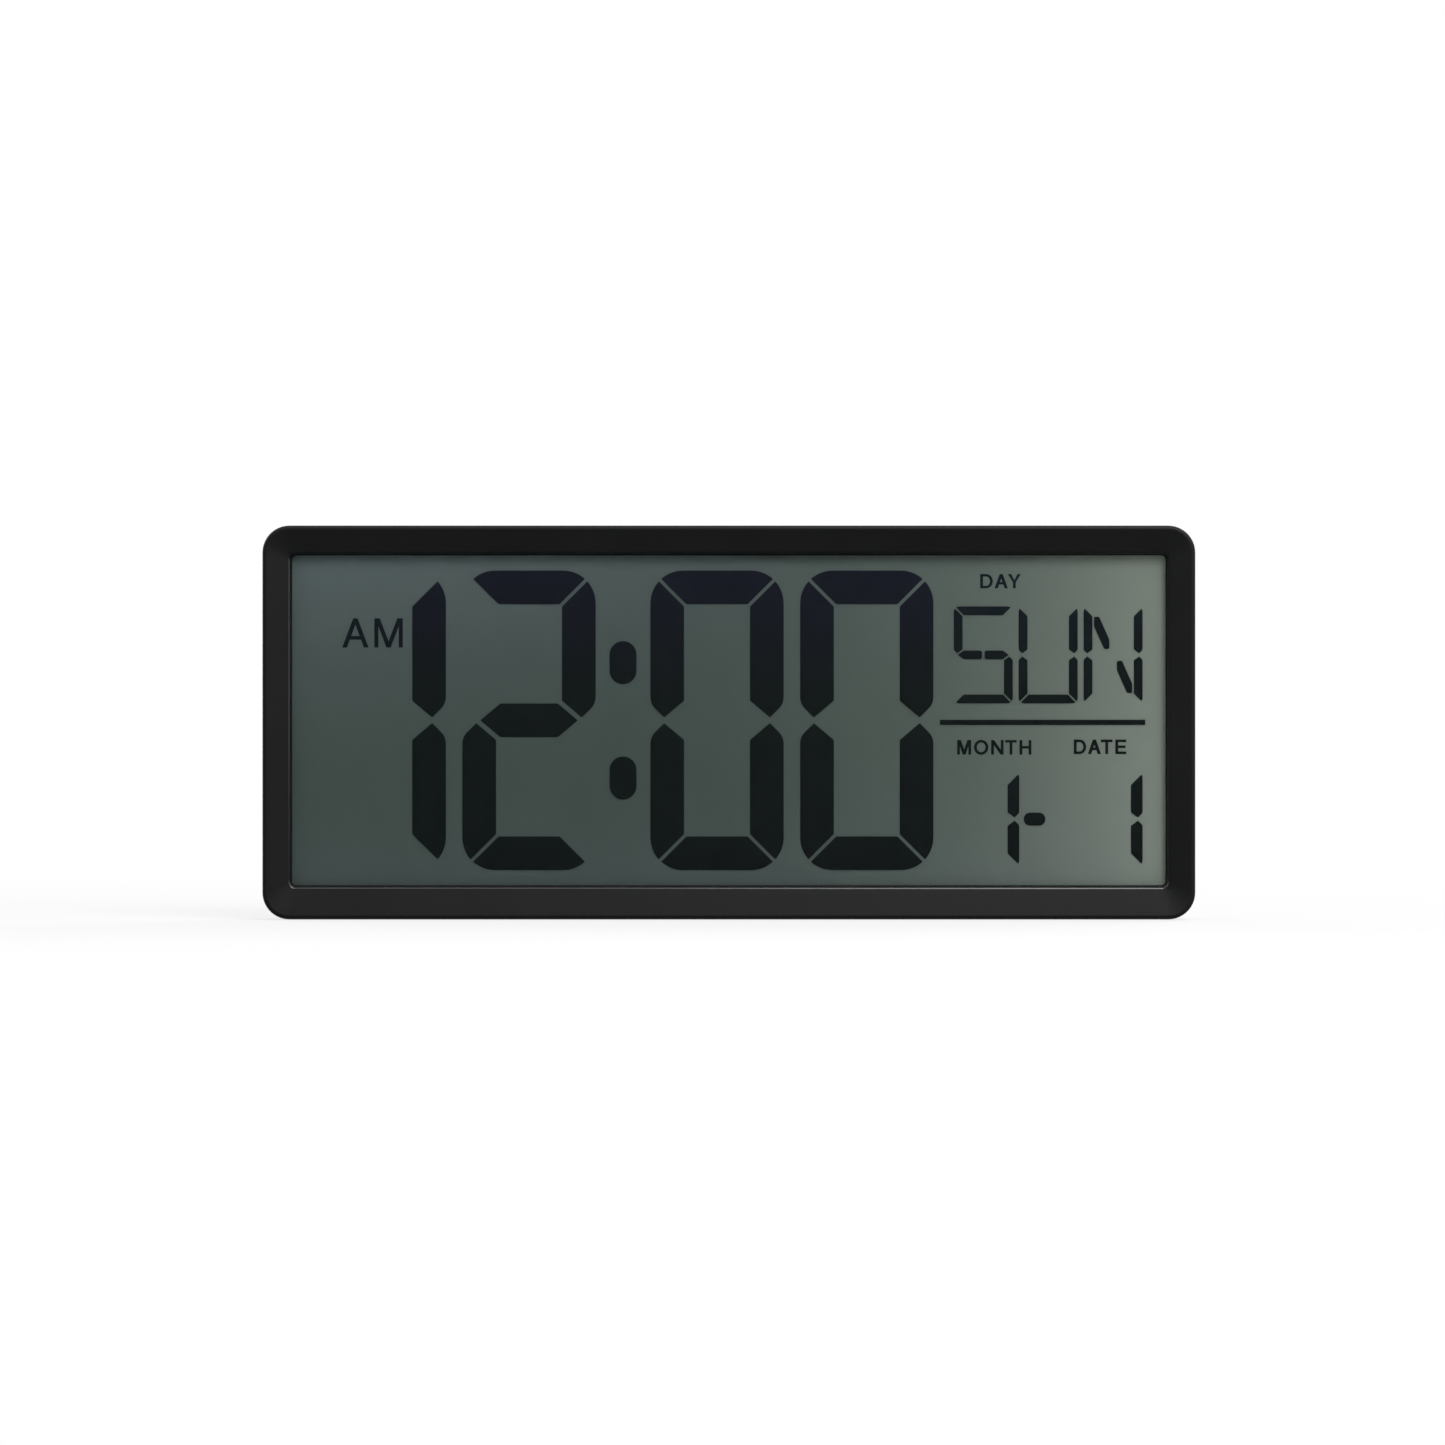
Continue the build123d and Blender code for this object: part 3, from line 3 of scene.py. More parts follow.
import bpy
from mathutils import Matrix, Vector


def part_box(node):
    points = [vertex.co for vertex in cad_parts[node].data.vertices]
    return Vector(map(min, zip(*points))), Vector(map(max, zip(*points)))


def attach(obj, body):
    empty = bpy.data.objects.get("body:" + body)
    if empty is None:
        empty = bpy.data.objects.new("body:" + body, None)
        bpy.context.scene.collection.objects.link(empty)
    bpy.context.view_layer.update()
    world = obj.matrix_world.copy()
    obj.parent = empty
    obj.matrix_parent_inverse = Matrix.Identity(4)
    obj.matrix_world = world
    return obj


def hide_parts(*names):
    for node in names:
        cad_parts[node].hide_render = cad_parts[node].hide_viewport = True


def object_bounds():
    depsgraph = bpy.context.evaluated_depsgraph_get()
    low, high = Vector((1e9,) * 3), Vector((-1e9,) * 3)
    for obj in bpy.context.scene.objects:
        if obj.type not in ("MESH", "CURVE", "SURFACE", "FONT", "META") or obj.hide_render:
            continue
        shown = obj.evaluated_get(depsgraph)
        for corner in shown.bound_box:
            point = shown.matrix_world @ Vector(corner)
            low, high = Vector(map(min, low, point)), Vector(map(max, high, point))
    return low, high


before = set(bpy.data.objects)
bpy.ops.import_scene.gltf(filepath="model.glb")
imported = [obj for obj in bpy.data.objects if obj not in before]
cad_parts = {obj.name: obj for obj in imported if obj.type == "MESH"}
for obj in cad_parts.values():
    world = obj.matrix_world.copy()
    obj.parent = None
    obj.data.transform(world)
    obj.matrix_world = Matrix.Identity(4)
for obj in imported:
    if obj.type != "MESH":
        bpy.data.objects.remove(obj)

bl_info = {
    "name": "LCD Wall Clock",
    "version": (1, 0, 0),
    "blender": (4, 5, 0),
    "location": "View3D > Sidebar > Clock",
    "description": "Dresses the packed wall clock with its words, marks, finishes and stage",
    "category": "Object",
}

# Metres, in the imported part's frame: X to the right seen from the front, Y to the wall, Z up
CAD_LOW, CAD_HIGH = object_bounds()
BODY = "case"
KEYS = ("mode", "set", "up", "down", "format")

FIELD_LOW, FIELD_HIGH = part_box("rear_glass")
DIGIT_LOW, DIGIT_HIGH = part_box("minute_segments")
LID_LOW, LID_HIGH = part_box("battery_lid")
# The lid's face lies just inside the flat back, and the buttons stand off the floor of their panel
LID_FACE = -0.0002
BUTTON_PROUD = 0.0016
PANEL_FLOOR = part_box("mode_button")[1].y - BUTTON_PROUD

# Words of the display: text, left, right, bottom and top edge, and stroke as a share of the height
WORDS = {
    "word_am": ("AM", (-0.1495, -0.1261, 0.0290, 0.0403), 0.138),
    "word_day": ("DAY", (0.0972, 0.1129, 0.0519, 0.0574), 0.19),
    "word_month": ("MONTH", (0.0883, 0.1170, -0.0125, -0.0067), 0.195),
    "word_date": ("DATE", (0.1334, 0.1537, -0.0122, -0.0066), 0.20),
}
# Marks above the buttons: text, or none for an arrow, and half the mark's width
KEY_MARKS = {
    "mode": ("MODE", 0.0042),
    "set": ("SET", 0.0028),
    "up": ("", 0.0014),
    "down": ("", 0.0014),
    "format": ("12/24", 0.0040),
}
# The lid's arrow, and how far it stands above the lid's lower edge
LID_ARROW_W, LID_ARROW_H, LID_ARROW_RISE = 0.009, 0.0065, 0.0115

# Depths behind the front where the edge round the window turns polished, and where its wall turns
# rougher and darker with painted shade
LIP_DEPTHS = (0.0012, 0.0018)
WALL_SHADE_DEPTHS = (0.0021, 0.0027)
# The bars' colour turns between these heights
TINT_HEIGHTS = ((DIGIT_LOW.z + DIGIT_HIGH.z) / 2 + 0.006, DIGIT_HIGH.z + 0.004)

# Corners nearer than this are merged, in drawings of about one unit and in metres
DRAWN_MERGE, METRE_MERGE = 0.0001, 0.000001

# The stage, both flat pieces lying just below the clock's lowest point
FLOOR_SIZE, FLOOR_DROP = 60.0, 0.0003
# Share of plain white in the floor near the clock, and the radii where all of it turns white
NEAR_WHITE, SHADOW_RIM = 0.74, (0.3, 1.1)
# The dark cloth's width, its near and far edge in Y, and how it goes on from its far edge
CLOTH_WIDTH, CLOTH_NEAR, CLOTH_FAR, CLOTH_DROP = 16.0, -0.03, -4.1, 0.0001
CLOTH_RISE = (0.0, -0.4, 3.0)


class Signal:
    """A node's output. Arithmetic on it adds Math nodes to its tree."""

    def __init__(self, tree, socket):
        self.tree = tree
        self.socket = socket

    def math(self, operation, first, second):
        return self.tree.node("ShaderNodeMath", {"operation": operation}, {0: first, 1: second})

    def __add__(self, other):
        return self.math("ADD", self, other)

    def __radd__(self, other):
        return self.math("ADD", other, self)

    def __sub__(self, other):
        return self.math("SUBTRACT", self, other)

    def __rsub__(self, other):
        return self.math("SUBTRACT", other, self)

    def __mul__(self, other):
        return self.math("MULTIPLY", self, other)

    def __rmul__(self, other):
        return self.math("MULTIPLY", other, self)

    def __truediv__(self, other):
        return self.math("DIVIDE", self, other)

    def __pow__(self, other):
        return self.math("POWER", self, other)

    def __gt__(self, other):
        return self.math("GREATER_THAN", self, other)

    def __lt__(self, other):
        return self.math("LESS_THAN", self, other)

    def most(self, other):
        return self.math("MAXIMUM", self, other)


class Tree:
    """The nodes of one material or of the world."""

    def __init__(self, owner):
        owner.use_nodes = True
        self.owner = owner
        self.nodes = owner.node_tree.nodes
        self.links = owner.node_tree.links
        self.nodes.clear()

    def node(self, kind, settings=None, sockets=None, out=0):
        """A node with its settings made first and then its sockets filled or linked."""
        made = self.nodes.new(kind)
        for name, value in (settings or {}).items():
            setattr(made, name, value)
        for name, value in (sockets or {}).items():
            if isinstance(value, Signal):
                self.links.new(value.socket, made.inputs[name])
            else:
                made.inputs[name].default_value = value
        return Signal(self, made.outputs[out] if made.outputs else None)

    def place(self):
        return self.node("ShaderNodeTexCoord", out="Object")

    def axis(self, letter):
        return self.node("ShaderNodeSeparateXYZ", {}, {0: self.place()}, out=letter)

    def grain(self, size, detail=2.0, stretch=(1.0, 1.0, 1.0)):
        """Noise with spots about this many metres across."""
        where = self.node("ShaderNodeMapping", {}, {"Vector": self.place(), "Scale": stretch})
        sockets = {"Vector": where, "Scale": 1.0 / size, "Detail": detail}
        return self.node("ShaderNodeTexNoise", {}, sockets)

    def between(self, value, low, high):
        """A value taken from 0 at one end to 1 at the other, eased and held beyond them."""
        return self.node(
            "ShaderNodeMapRange",
            {"interpolation_type": "SMOOTHSTEP"},
            {"Value": value, "From Min": low, "From Max": high},
        )

    def blend(self, share, first, second):
        """Two colours mixed by a share."""
        sockets = {0: share, 6: first, 7: second}
        return self.node("ShaderNodeMix", {"data_type": "RGBA"}, sockets, out=2)

    def bump(self, height, depth):
        sockets = {"Strength": 1.0, "Distance": depth, "Height": height}
        return self.node("ShaderNodeBump", {}, sockets)

    def show(self, shader):
        self.node("ShaderNodeOutputMaterial", {}, {"Surface": shader})

    def surface(self, sockets):
        self.show(self.node("ShaderNodeBsdfPrincipled", {}, sockets))


def finish(name):
    """A new material's tree."""
    return Tree(bpy.data.materials.new(name))


def tone(colour, factor=1.0):
    """A colour as four numbers, lighter or darker by a factor."""
    return (colour[0] * factor, colour[1] * factor, colour[2] * factor, 1.0)


def dress(node, tree):
    """Gives a CAD node its finish."""
    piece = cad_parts[node]
    if piece.material_slots:
        piece.material_slots[0].material = tree.owner
    else:
        piece.data.materials.append(tree.owner)


def plastic_skin(tree, colour, spot, cloud):
    """Spark texture, clouded colour and uneven gloss of moulded plastic."""
    fine = tree.grain(spot, 3.0)
    broad = tree.grain(cloud, 2.0)
    dark, pale = tone(colour, 0.86), tone(colour, 1.14)
    skin = tree.blend(broad, dark, pale)
    uneven = 0.14 * (fine - 0.5) + 0.10 * (broad - 0.5)
    return fine, skin, uneven


def moulded(name, colour, spot, depth, roughness, shine, cloud=0.03):
    """Moulded plastic, with the size and depth of its fine texture and the size of its clouding."""
    tree = finish(name)
    fine, skin, uneven = plastic_skin(tree, colour, spot, cloud)
    tree.surface(
        {
            "Base Color": skin,
            "Roughness": roughness + uneven,
            "Specular IOR Level": shine,
            "Normal": tree.bump(fine, depth),
        }
    )
    return tree


def frame_plastic(case):
    """Satin black plastic, polished round the window, and rougher with painted shade darkening the
    wall behind that edge.
    """
    tree = finish("frame_plastic")
    fine, skin, uneven = plastic_skin(tree, case.frame_colour, case.frame_spot, cloud=0.03)
    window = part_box("front_polariser")
    inside = 1.0
    for letter, low, high in (("X", window[0].x, window[1].x), ("Z", window[0].z, window[1].z)):
        where = tree.axis(letter)
        inside = (where > low) * (where < high) * inside
    deep = tree.axis("Y") - CAD_LOW.y
    # The wall mask carries painted shade: the recessed wall gets a darker tone of the frame colour,
    # and more roughness
    wall = inside * tree.between(deep, *WALL_SHADE_DEPTHS)
    polish = inside * tree.between(deep, *LIP_DEPTHS) * (1.0 - wall)
    tree.surface(
        {
            "Base Color": tree.blend(wall, skin, tone(case.frame_colour, 0.3)),
            "Roughness": 0.46 + uneven - 0.12 * polish + 0.3 * wall,
            "Specular IOR Level": 0.2,
            "Coat Weight": 0.9 * polish,
            "Coat Roughness": 0.1,
            "Normal": tree.bump(fine, 0.000012),
        }
    )
    return tree


def plated(name, colour, roughness, stretch):
    """Plated metal with fine drawn lines along one way and a slight tarnish."""
    tree = finish(name)
    lines = tree.grain(0.00012, 3.0, stretch)
    tarnish = tree.grain(0.003, 3.0)
    tree.surface(
        {
            "Base Color": tree.blend(tarnish, tone(colour, 0.78), tone(colour, 1.1)),
            "Metallic": 1.0,
            "Roughness": roughness + 0.16 * (lines - 0.5) + 0.12 * (tarnish - 0.5),
            "Normal": tree.bump(lines, 0.000006),
        }
    )
    return tree


def window_plastic(name, tint, least, roughness):
    """Clear sheet that lets light straight through and mirrors more at a slant, faintly smeared."""
    tree = finish(name)
    smear = tree.grain(0.018, 4.0, (1.0, 1.0, 0.35))
    slant = tree.node("ShaderNodeLayerWeight", {}, {"Blend": 0.5}, out="Facing")
    # From the least share straight on, mirroring rises with the fifth power of the slant
    mirror = (least + (1.0 - least) * slant**5) * (0.85 + 0.3 * smear)
    clear = tree.node("ShaderNodeBsdfTransparent", {}, {"Color": tone(tint)})
    gloss = tree.node("ShaderNodeBsdfGlossy", {}, {"Roughness": roughness})
    tree.show(tree.node("ShaderNodeMixShader", {}, {0: mirror, 1: clear, 2: gloss}))
    return tree


def display_field(settings):
    """Grey-green field of the display: a satin metallic film seen through polariser and glass, with
    painted light that pales it to the right and a painted cool sheen above and below.
    """
    tree = finish("display_field")
    across = (tree.axis("X") - FIELD_LOW.x) / (FIELD_HIGH.x - FIELD_LOW.x)
    upward = (tree.axis("Z") - FIELD_LOW.z) / (FIELD_HIGH.z - FIELD_LOW.z)
    mottle = tree.grain(0.035, 2.0)
    speck = tree.grain(0.0004, 2.0)
    # Painted light: the field pales to the right, a little less so at the top
    pale_power, top_loss, mottling = 5, 0.14, 0.06
    side = across**pale_power * (1.0 - top_loss * upward) + mottling * (mottle - 0.5)
    # Painted sheen: a cool reflection painted at the upper left and along the bottom
    top_painted_sheen, foot_painted_sheen = 0.27, 0.13
    edge = top_painted_sheen * upward**2 * (1.0 - across) + foot_painted_sheen * (1.0 - upward) ** 4
    field = tree.blend(side, tone(settings.field_dark), tone(settings.field_painted_lit))
    field = tree.blend(edge, field, tone(settings.field_painted_sheen))
    field = tree.blend(0.05 * speck, field, tone(settings.field_painted_lit))
    tree.surface(
        {
            "Base Color": field,
            "Roughness": 0.42 + 0.10 * (speck - 0.5),
            "Specular IOR Level": 0.25,
            "Normal": tree.bump(speck, 0.000008),
        }
    )
    return tree


def dark_segment(name, low, high):
    """Switched-on display bars, whose colour turns to another in the upper half."""
    tree = finish(name)
    upward = tree.between(tree.axis("Z"), *TINT_HEIGHTS)
    mottle = tree.grain(0.02, 2.0)
    share = upward + 0.25 * (mottle - 0.5)
    tree.surface(
        {
            "Base Color": tree.blend(share, tone(low, 0.97), tone(high, 1.03)),
            "Roughness": 0.5 + 0.12 * (mottle - 0.5),
            "Specular IOR Level": 0.12,
        }
    )
    return tree


def soft_rubber(name, colour, spot, depth):
    """Foam, rubber or wire sleeve with a fine dull skin."""
    tree = finish(name)
    skin = tree.grain(spot, 4.0)
    tree.surface(
        {
            "Base Color": tree.blend(skin, tone(colour, 0.7), tone(colour, 1.25)),
            "Roughness": 0.72 + 0.2 * (skin - 0.5),
            "Specular IOR Level": 0.3,
            "Normal": tree.bump(skin, depth),
        }
    )
    return tree


def striped(name, first, second, pitch, roughness):
    """Layers or tracks side by side along X."""
    tree = finish(name)
    # At a scale of one the bands repeat every pi / 10
    bands = tree.node(
        "ShaderNodeTexWave",
        {"wave_type": "BANDS", "bands_direction": "X", "wave_profile": "SIN"},
        {"Vector": tree.place(), "Scale": math.pi / (10.0 * pitch), "Distortion": 0.0},
        out="Fac",
    )
    wear = tree.grain(0.001, 3.0)
    tree.surface(
        {
            "Base Color": tree.blend(tree.between(bands, 0.4, 0.6), tone(first), tone(second)),
            "Roughness": roughness + 0.15 * (wear - 0.5),
            "Normal": tree.bump(bands, 0.00002),
        }
    )
    return tree


def laminate(name, mask, track):
    """Circuit board: solder mask over tracks that run in blocks."""
    tree = finish(name)
    upright = (math.radians(90.0), 0.0, 0.0)
    turned = tree.node("ShaderNodeMapping", {}, {"Vector": tree.place(), "Rotation": upright})
    tracks = tree.node(
        "ShaderNodeTexBrick",
        {"offset": 0.37, "squash": 0.7},
        {
            "Vector": turned,
            "Scale": 120.0,
            "Mortar Size": 0.03,
            "Mortar Smooth": 0.2,
            "Brick Width": 0.9,
            "Row Height": 0.22,
        },
        out="Fac",
    )
    cloud = tree.grain(0.004, 3.0)
    base = tree.blend(cloud, tone(mask, 0.8), tone(mask, 1.15))
    tree.surface(
        {
            "Base Color": tree.blend(tracks, base, tone(track)),
            "Roughness": 0.34 + 0.12 * (cloud - 0.5),
            "Normal": tree.bump(tracks, 0.00003),
        }
    )
    return tree


def cell_jacket(name, node, plus_side):
    """Plain battery: a printed jacket with a pale band near the plus end, and bare metal ends."""
    tree = finish(name)
    jacket, pale = (0.035, 0.05, 0.075), (0.46, 0.47, 0.48)
    rubbed, steel = (0.3, 0.3, 0.31), (0.66, 0.65, 0.63)
    # Shares of the length, from the minus end
    foot_end, band_edge, cap_start = 0.014, (0.70, 0.706), 0.962
    low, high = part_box(node)
    along = (tree.axis("X") - low.x) / (high.x - low.x)
    if plus_side < 0:
        along = 1.0 - along
    rub = tree.grain(0.0012, 4.0, (0.3, 1.0, 1.0))
    band = tree.between(along, *band_edge)
    body = tree.blend(band, tone(jacket), tone(pale))
    body = tree.blend(0.25 * rub, body, tone(rubbed))
    bare = (along > cap_start).most(along < foot_end)
    tree.surface(
        {
            "Base Color": tree.blend(bare, body, tone(steel)),
            "Metallic": 0.25 + 0.75 * bare,
            "Roughness": 0.36 + 0.16 * (rub - 0.5),
            "Normal": tree.bump(rub, 0.000008),
        }
    )
    return tree


def corners(piece):
    """Lowest and highest corner of a mesh."""
    points = [v.co for v in piece.data.vertices]
    low = Vector(min(p[i] for p in points) for i in range(3))
    high = Vector(max(p[i] for p in points) for i in range(3))
    return low, high


def apply_place():
    bpy.ops.object.transform_apply(location=True, rotation=True, scale=True)


def clean_mesh(merge):
    """Joins loose corners of the active mesh and turns its faces outwards."""
    bpy.ops.object.mode_set(mode="EDIT")
    bpy.ops.mesh.select_all(action="SELECT")
    bpy.ops.mesh.remove_doubles(threshold=merge)
    bpy.ops.mesh.normals_make_consistent(inside=False)
    bpy.ops.object.mode_set(mode="OBJECT")


def select_faces(piece, wanted):
    """In edit mode, selects the faces that a test picks by their normal."""
    bpy.ops.mesh.select_mode(type="FACE")
    bpy.ops.mesh.select_all(action="DESELECT")
    bpy.ops.object.mode_set(mode="OBJECT")
    for face in piece.data.polygons:
        face.select = wanted(face.normal)
    bpy.ops.object.mode_set(mode="EDIT")


def stand(piece, box, base, proud, to_back):
    """Fits a mesh drawn flat in X and Y into a box in X and Z, raised off a plane to its reader."""
    left, right, bottom, top = box
    low, high = corners(piece)
    piece.location = -(low + high) / 2
    apply_place()
    piece.scale = (
        (right - left) / (high.x - low.x),
        (top - bottom) / (high.y - low.y),
        proud / (high.z - low.z),
    )
    piece.rotation_euler = (math.radians(90.0), 0.0, math.radians(180.0) if to_back else 0.0)
    away = 1.0 if to_back else -1.0
    piece.location = ((left + right) / 2, base + away * proud / 2, (bottom + top) / 2)
    apply_place()


def arc(middle, radii, start, stop, steps=16):
    """Points along part of an ellipse, in degrees."""
    turns = [math.radians(start + (stop - start) * i / steps) for i in range(steps + 1)]
    return [(middle[0] + radii[0] * math.cos(t), middle[1] + radii[1] * math.sin(t)) for t in turns]


def mirrored(points, width):
    """A left half of an outline, with its right half added."""
    return points + [(width - x, y) for x, y in reversed(points)]


# Letters one unit high: each takes the width w of its stroke and gives its width and outlines


def letter_a(w):
    width, foot, bar = 0.91, 1.15 * w, 0.27
    lean = width / 2 - 0.55 * w
    outer = [(foot + lean * bar, bar), (foot, 0.0), (0.0, 0.0), (lean, 1.0)]
    sill = bar + 0.88 * w
    peak = (width / 2, (width / 2 - foot) / lean)
    eye = [(foot + lean * sill, sill), peak, (width - foot - lean * sill, sill)]
    return width, [mirrored(outer, width), eye]


def letter_d(w):
    width, bow = 0.86, 0.46
    middle = (width - bow, 0.5)
    outer = [(0.0, 1.0), (0.0, 0.0)] + arc(middle, (bow, 0.5), -90.0, 90.0)
    inner = [(w, 1.0 - 0.9 * w), (w, 0.9 * w)] + arc(middle, (bow - w, 0.5 - 0.9 * w), -90.0, 90.0)
    return width, [outer, inner]


def letter_e(w):
    width, arm, low, high = 0.76, 0.88 * w, 0.5 - 0.42 * w, 0.5 + 0.46 * w
    tip = 0.93 * width
    foot = [(0.0, 1.0), (0.0, 0.0), (width, 0.0), (width, arm)]
    notch = [(w, arm), (w, low), (tip, low), (tip, high), (w, high), (w, 1.0 - arm)]
    return width, [foot + notch + [(width, 1.0 - arm), (width, 1.0)]]


def letter_h(w):
    width, low, high = 0.83, 0.5 - 0.42 * w, 0.5 + 0.46 * w
    left = [(w, high), (w, 1.0), (0.0, 1.0), (0.0, 0.0), (w, 0.0), (w, low)]
    return width, [mirrored(left, width)]


def letter_m(w):
    width, top, tip = 0.98, 1.35 * w, 0.52 * w
    steep = 1.0 / (1.12 * w + width / 2 - top - tip)
    dip = 1.0 - steep * (width / 2 - top)
    left = [(width / 2, dip), (top, 1.0), (0.0, 1.0), (0.0, 0.0), (w, 0.0)]
    left += [(w, steep * (width / 2 - tip - w)), (width / 2 - tip, 0.0)]
    return width, [left + [(width - x, y) for x, y in reversed(left[1:])]]


def letter_n(w):
    width, top = 0.87, 1.1 * w
    dip = 1.0 - (width - w - top) / (width + 1.28 * w - 2 * top)
    half = [(0.0, 0.0), (0.0, 1.0), (top, 1.0), (width - w, dip), (width - w, 1.0)]
    return width, [half + [(width - x, 1.0 - y) for x, y in half]]


def letter_o(w):
    width, rise = 1.0, 0.515
    middle = (width / 2, 0.5)
    rings = ((width / 2, rise), (width / 2 - w, rise - 0.94 * w))
    return width, [arc(middle, radii, 0.0, 352.5, 47) for radii in rings]


def letter_t(w):
    width, under = 0.8, 1.0 - 0.9 * w
    left = [((width - w) / 2, 0.0), ((width - w) / 2, under), (0.0, under), (0.0, 1.0)]
    return width, [mirrored(left, width)]


def letter_y(w):
    width, fork = 0.88, 0.42
    left = [(width / 2, fork + 0.72 * w), (1.2 * w, 1.0), (0.0, 1.0)]
    left += [((width - w) / 2, fork), ((width - w) / 2, 0.0)]
    return width, [left + [(width - x, y) for x, y in reversed(left[1:])]]


LETTERS = {
    "A": letter_a,
    "D": letter_d,
    "E": letter_e,
    "H": letter_h,
    "M": letter_m,
    "N": letter_n,
    "O": letter_o,
    "T": letter_t,
    "Y": letter_y,
}
LETTER_GAP = 0.2
CLOSE_PAIRS = {"AY": 0.0, "AT": 0.0, "NT": 0.12, "DA": 0.12}


def made_mesh(piece, name):
    """Turns a flat curve or a text into a clean mesh."""
    piece.select_set(True)
    bpy.context.view_layer.objects.active = piece
    bpy.ops.object.convert(target="MESH")
    piece = bpy.context.object
    piece.name = name
    clean_mesh(DRAWN_MERGE)
    return piece


def add_word(name, text, weight):
    """A word drawn flat from its letters' outlines, as a mesh one unit high and thick."""
    bpy.ops.object.select_all(action="DESELECT")
    sheet = bpy.data.curves.new(name, "CURVE")
    sheet.dimensions = "2D"
    sheet.fill_mode = "BOTH"
    sheet.extrude = 0.5
    left = 0.0
    for place, sign in enumerate(text):
        width, outlines = LETTERS[sign](weight)
        for outline in outlines:
            spline = sheet.splines.new("POLY")
            spline.points.add(len(outline) - 1)
            for point, (x, y) in zip(spline.points, outline):
                point.co = (left + x, y, 0.0, 1.0)
            spline.use_cyclic_u = True
        left += width + CLOSE_PAIRS.get(text[place : place + 2], LETTER_GAP)
    piece = bpy.data.objects.new(name, sheet)
    bpy.context.scene.collection.objects.link(piece)
    return made_mesh(piece, name)


def add_text(name, text):
    """A small mark set in the built-in type, as a mesh with bevelled edges."""
    bpy.ops.object.select_all(action="DESELECT")
    bpy.ops.object.text_add()
    piece = bpy.context.object
    piece.data.body = text
    piece.data.extrude = 0.5
    piece.data.bevel_depth = 0.014
    piece.data.bevel_resolution = 0
    piece.data.resolution_u = 6
    return made_mesh(piece, name)


def add_arrow(name, down=False):
    """A round-cornered arrowhead drawn flat, pointing up or down."""
    bpy.ops.object.select_all(action="DESELECT")
    turn = (0.0, 0.0, math.pi if down else 0.0)
    bpy.ops.mesh.primitive_circle_add(vertices=3, radius=1.0, fill_type="NGON", rotation=turn)
    piece = bpy.context.object
    piece.name = name
    apply_place()
    bpy.ops.object.mode_set(mode="EDIT")
    bpy.ops.mesh.select_all(action="SELECT")
    bpy.ops.mesh.bevel(offset=0.16, segments=2, affect="VERTICES")
    bpy.ops.mesh.select_all(action="SELECT")
    bpy.ops.mesh.extrude_region_move(TRANSFORM_OT_translate={"value": (0.0, 0.0, 1.0)})
    bpy.ops.object.mode_set(mode="OBJECT")
    clean_mesh(DRAWN_MERGE)
    return piece


def settle(piece, tree, body):
    """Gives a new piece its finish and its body."""
    piece.data.materials.clear()
    piece.data.materials.append(tree.owner)
    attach(piece, body)


def add_lamp(name, place, size, power):
    """A square soft light that faces the clock."""
    bpy.ops.object.select_all(action="DESELECT")
    facing = (-Vector(place)).to_track_quat("-Z", "Y").to_euler()
    bpy.ops.object.light_add(type="AREA", location=place, rotation=facing)
    lamp = bpy.context.object
    lamp.name = name
    lamp.data.shape = "RECTANGLE"
    lamp.data.size = lamp.data.size_y = size
    lamp.data.energy = power


def seen_directly(tree):
    """One for what the camera sees, straight or in a mirror or through glass."""
    rays = ("Is Camera Ray", "Is Glossy Ray", "Is Transmission Ray")
    straight, mirror, glass = (tree.node("ShaderNodeLightPath", out=ray) for ray in rays)
    return straight.most(mirror).most(glass)


def add_floor(stage):
    """Wide pale floor just under the clock, which keeps a faint shadow."""
    bpy.ops.object.select_all(action="DESELECT")
    bpy.ops.mesh.primitive_plane_add(size=FLOOR_SIZE, location=(0.0, 0.0, CAD_LOW.z - FLOOR_DROP))
    floor = bpy.context.object
    floor.name = "floor"
    apply_place()
    tree = finish("pale_floor")
    cloud = tree.grain(0.8, 2.0)
    base = tree.blend(cloud, tone(stage.floor_colour, 0.985), tone(stage.floor_colour))
    matt = tree.node("ShaderNodeBsdfDiffuse", {}, {"Color": base})
    white = tree.node("ShaderNodeEmission", {}, {"Color": (1.0, 1.0, 1.0, 1.0), "Strength": 1.0})
    # The shadow shows near the clock and is lost in white further out
    length = {"operation": "LENGTH"}
    away = tree.node("ShaderNodeVectorMath", length, {0: tree.place()}, out="Value")
    share = NEAR_WHITE + (1.0 - NEAR_WHITE) * tree.between(away, *SHADOW_RIM)
    share = share * seen_directly(tree)
    tree.show(tree.node("ShaderNodeMixShader", {}, {0: share, 1: matt, 2: white}))
    floor.data.materials.append(tree.owner)


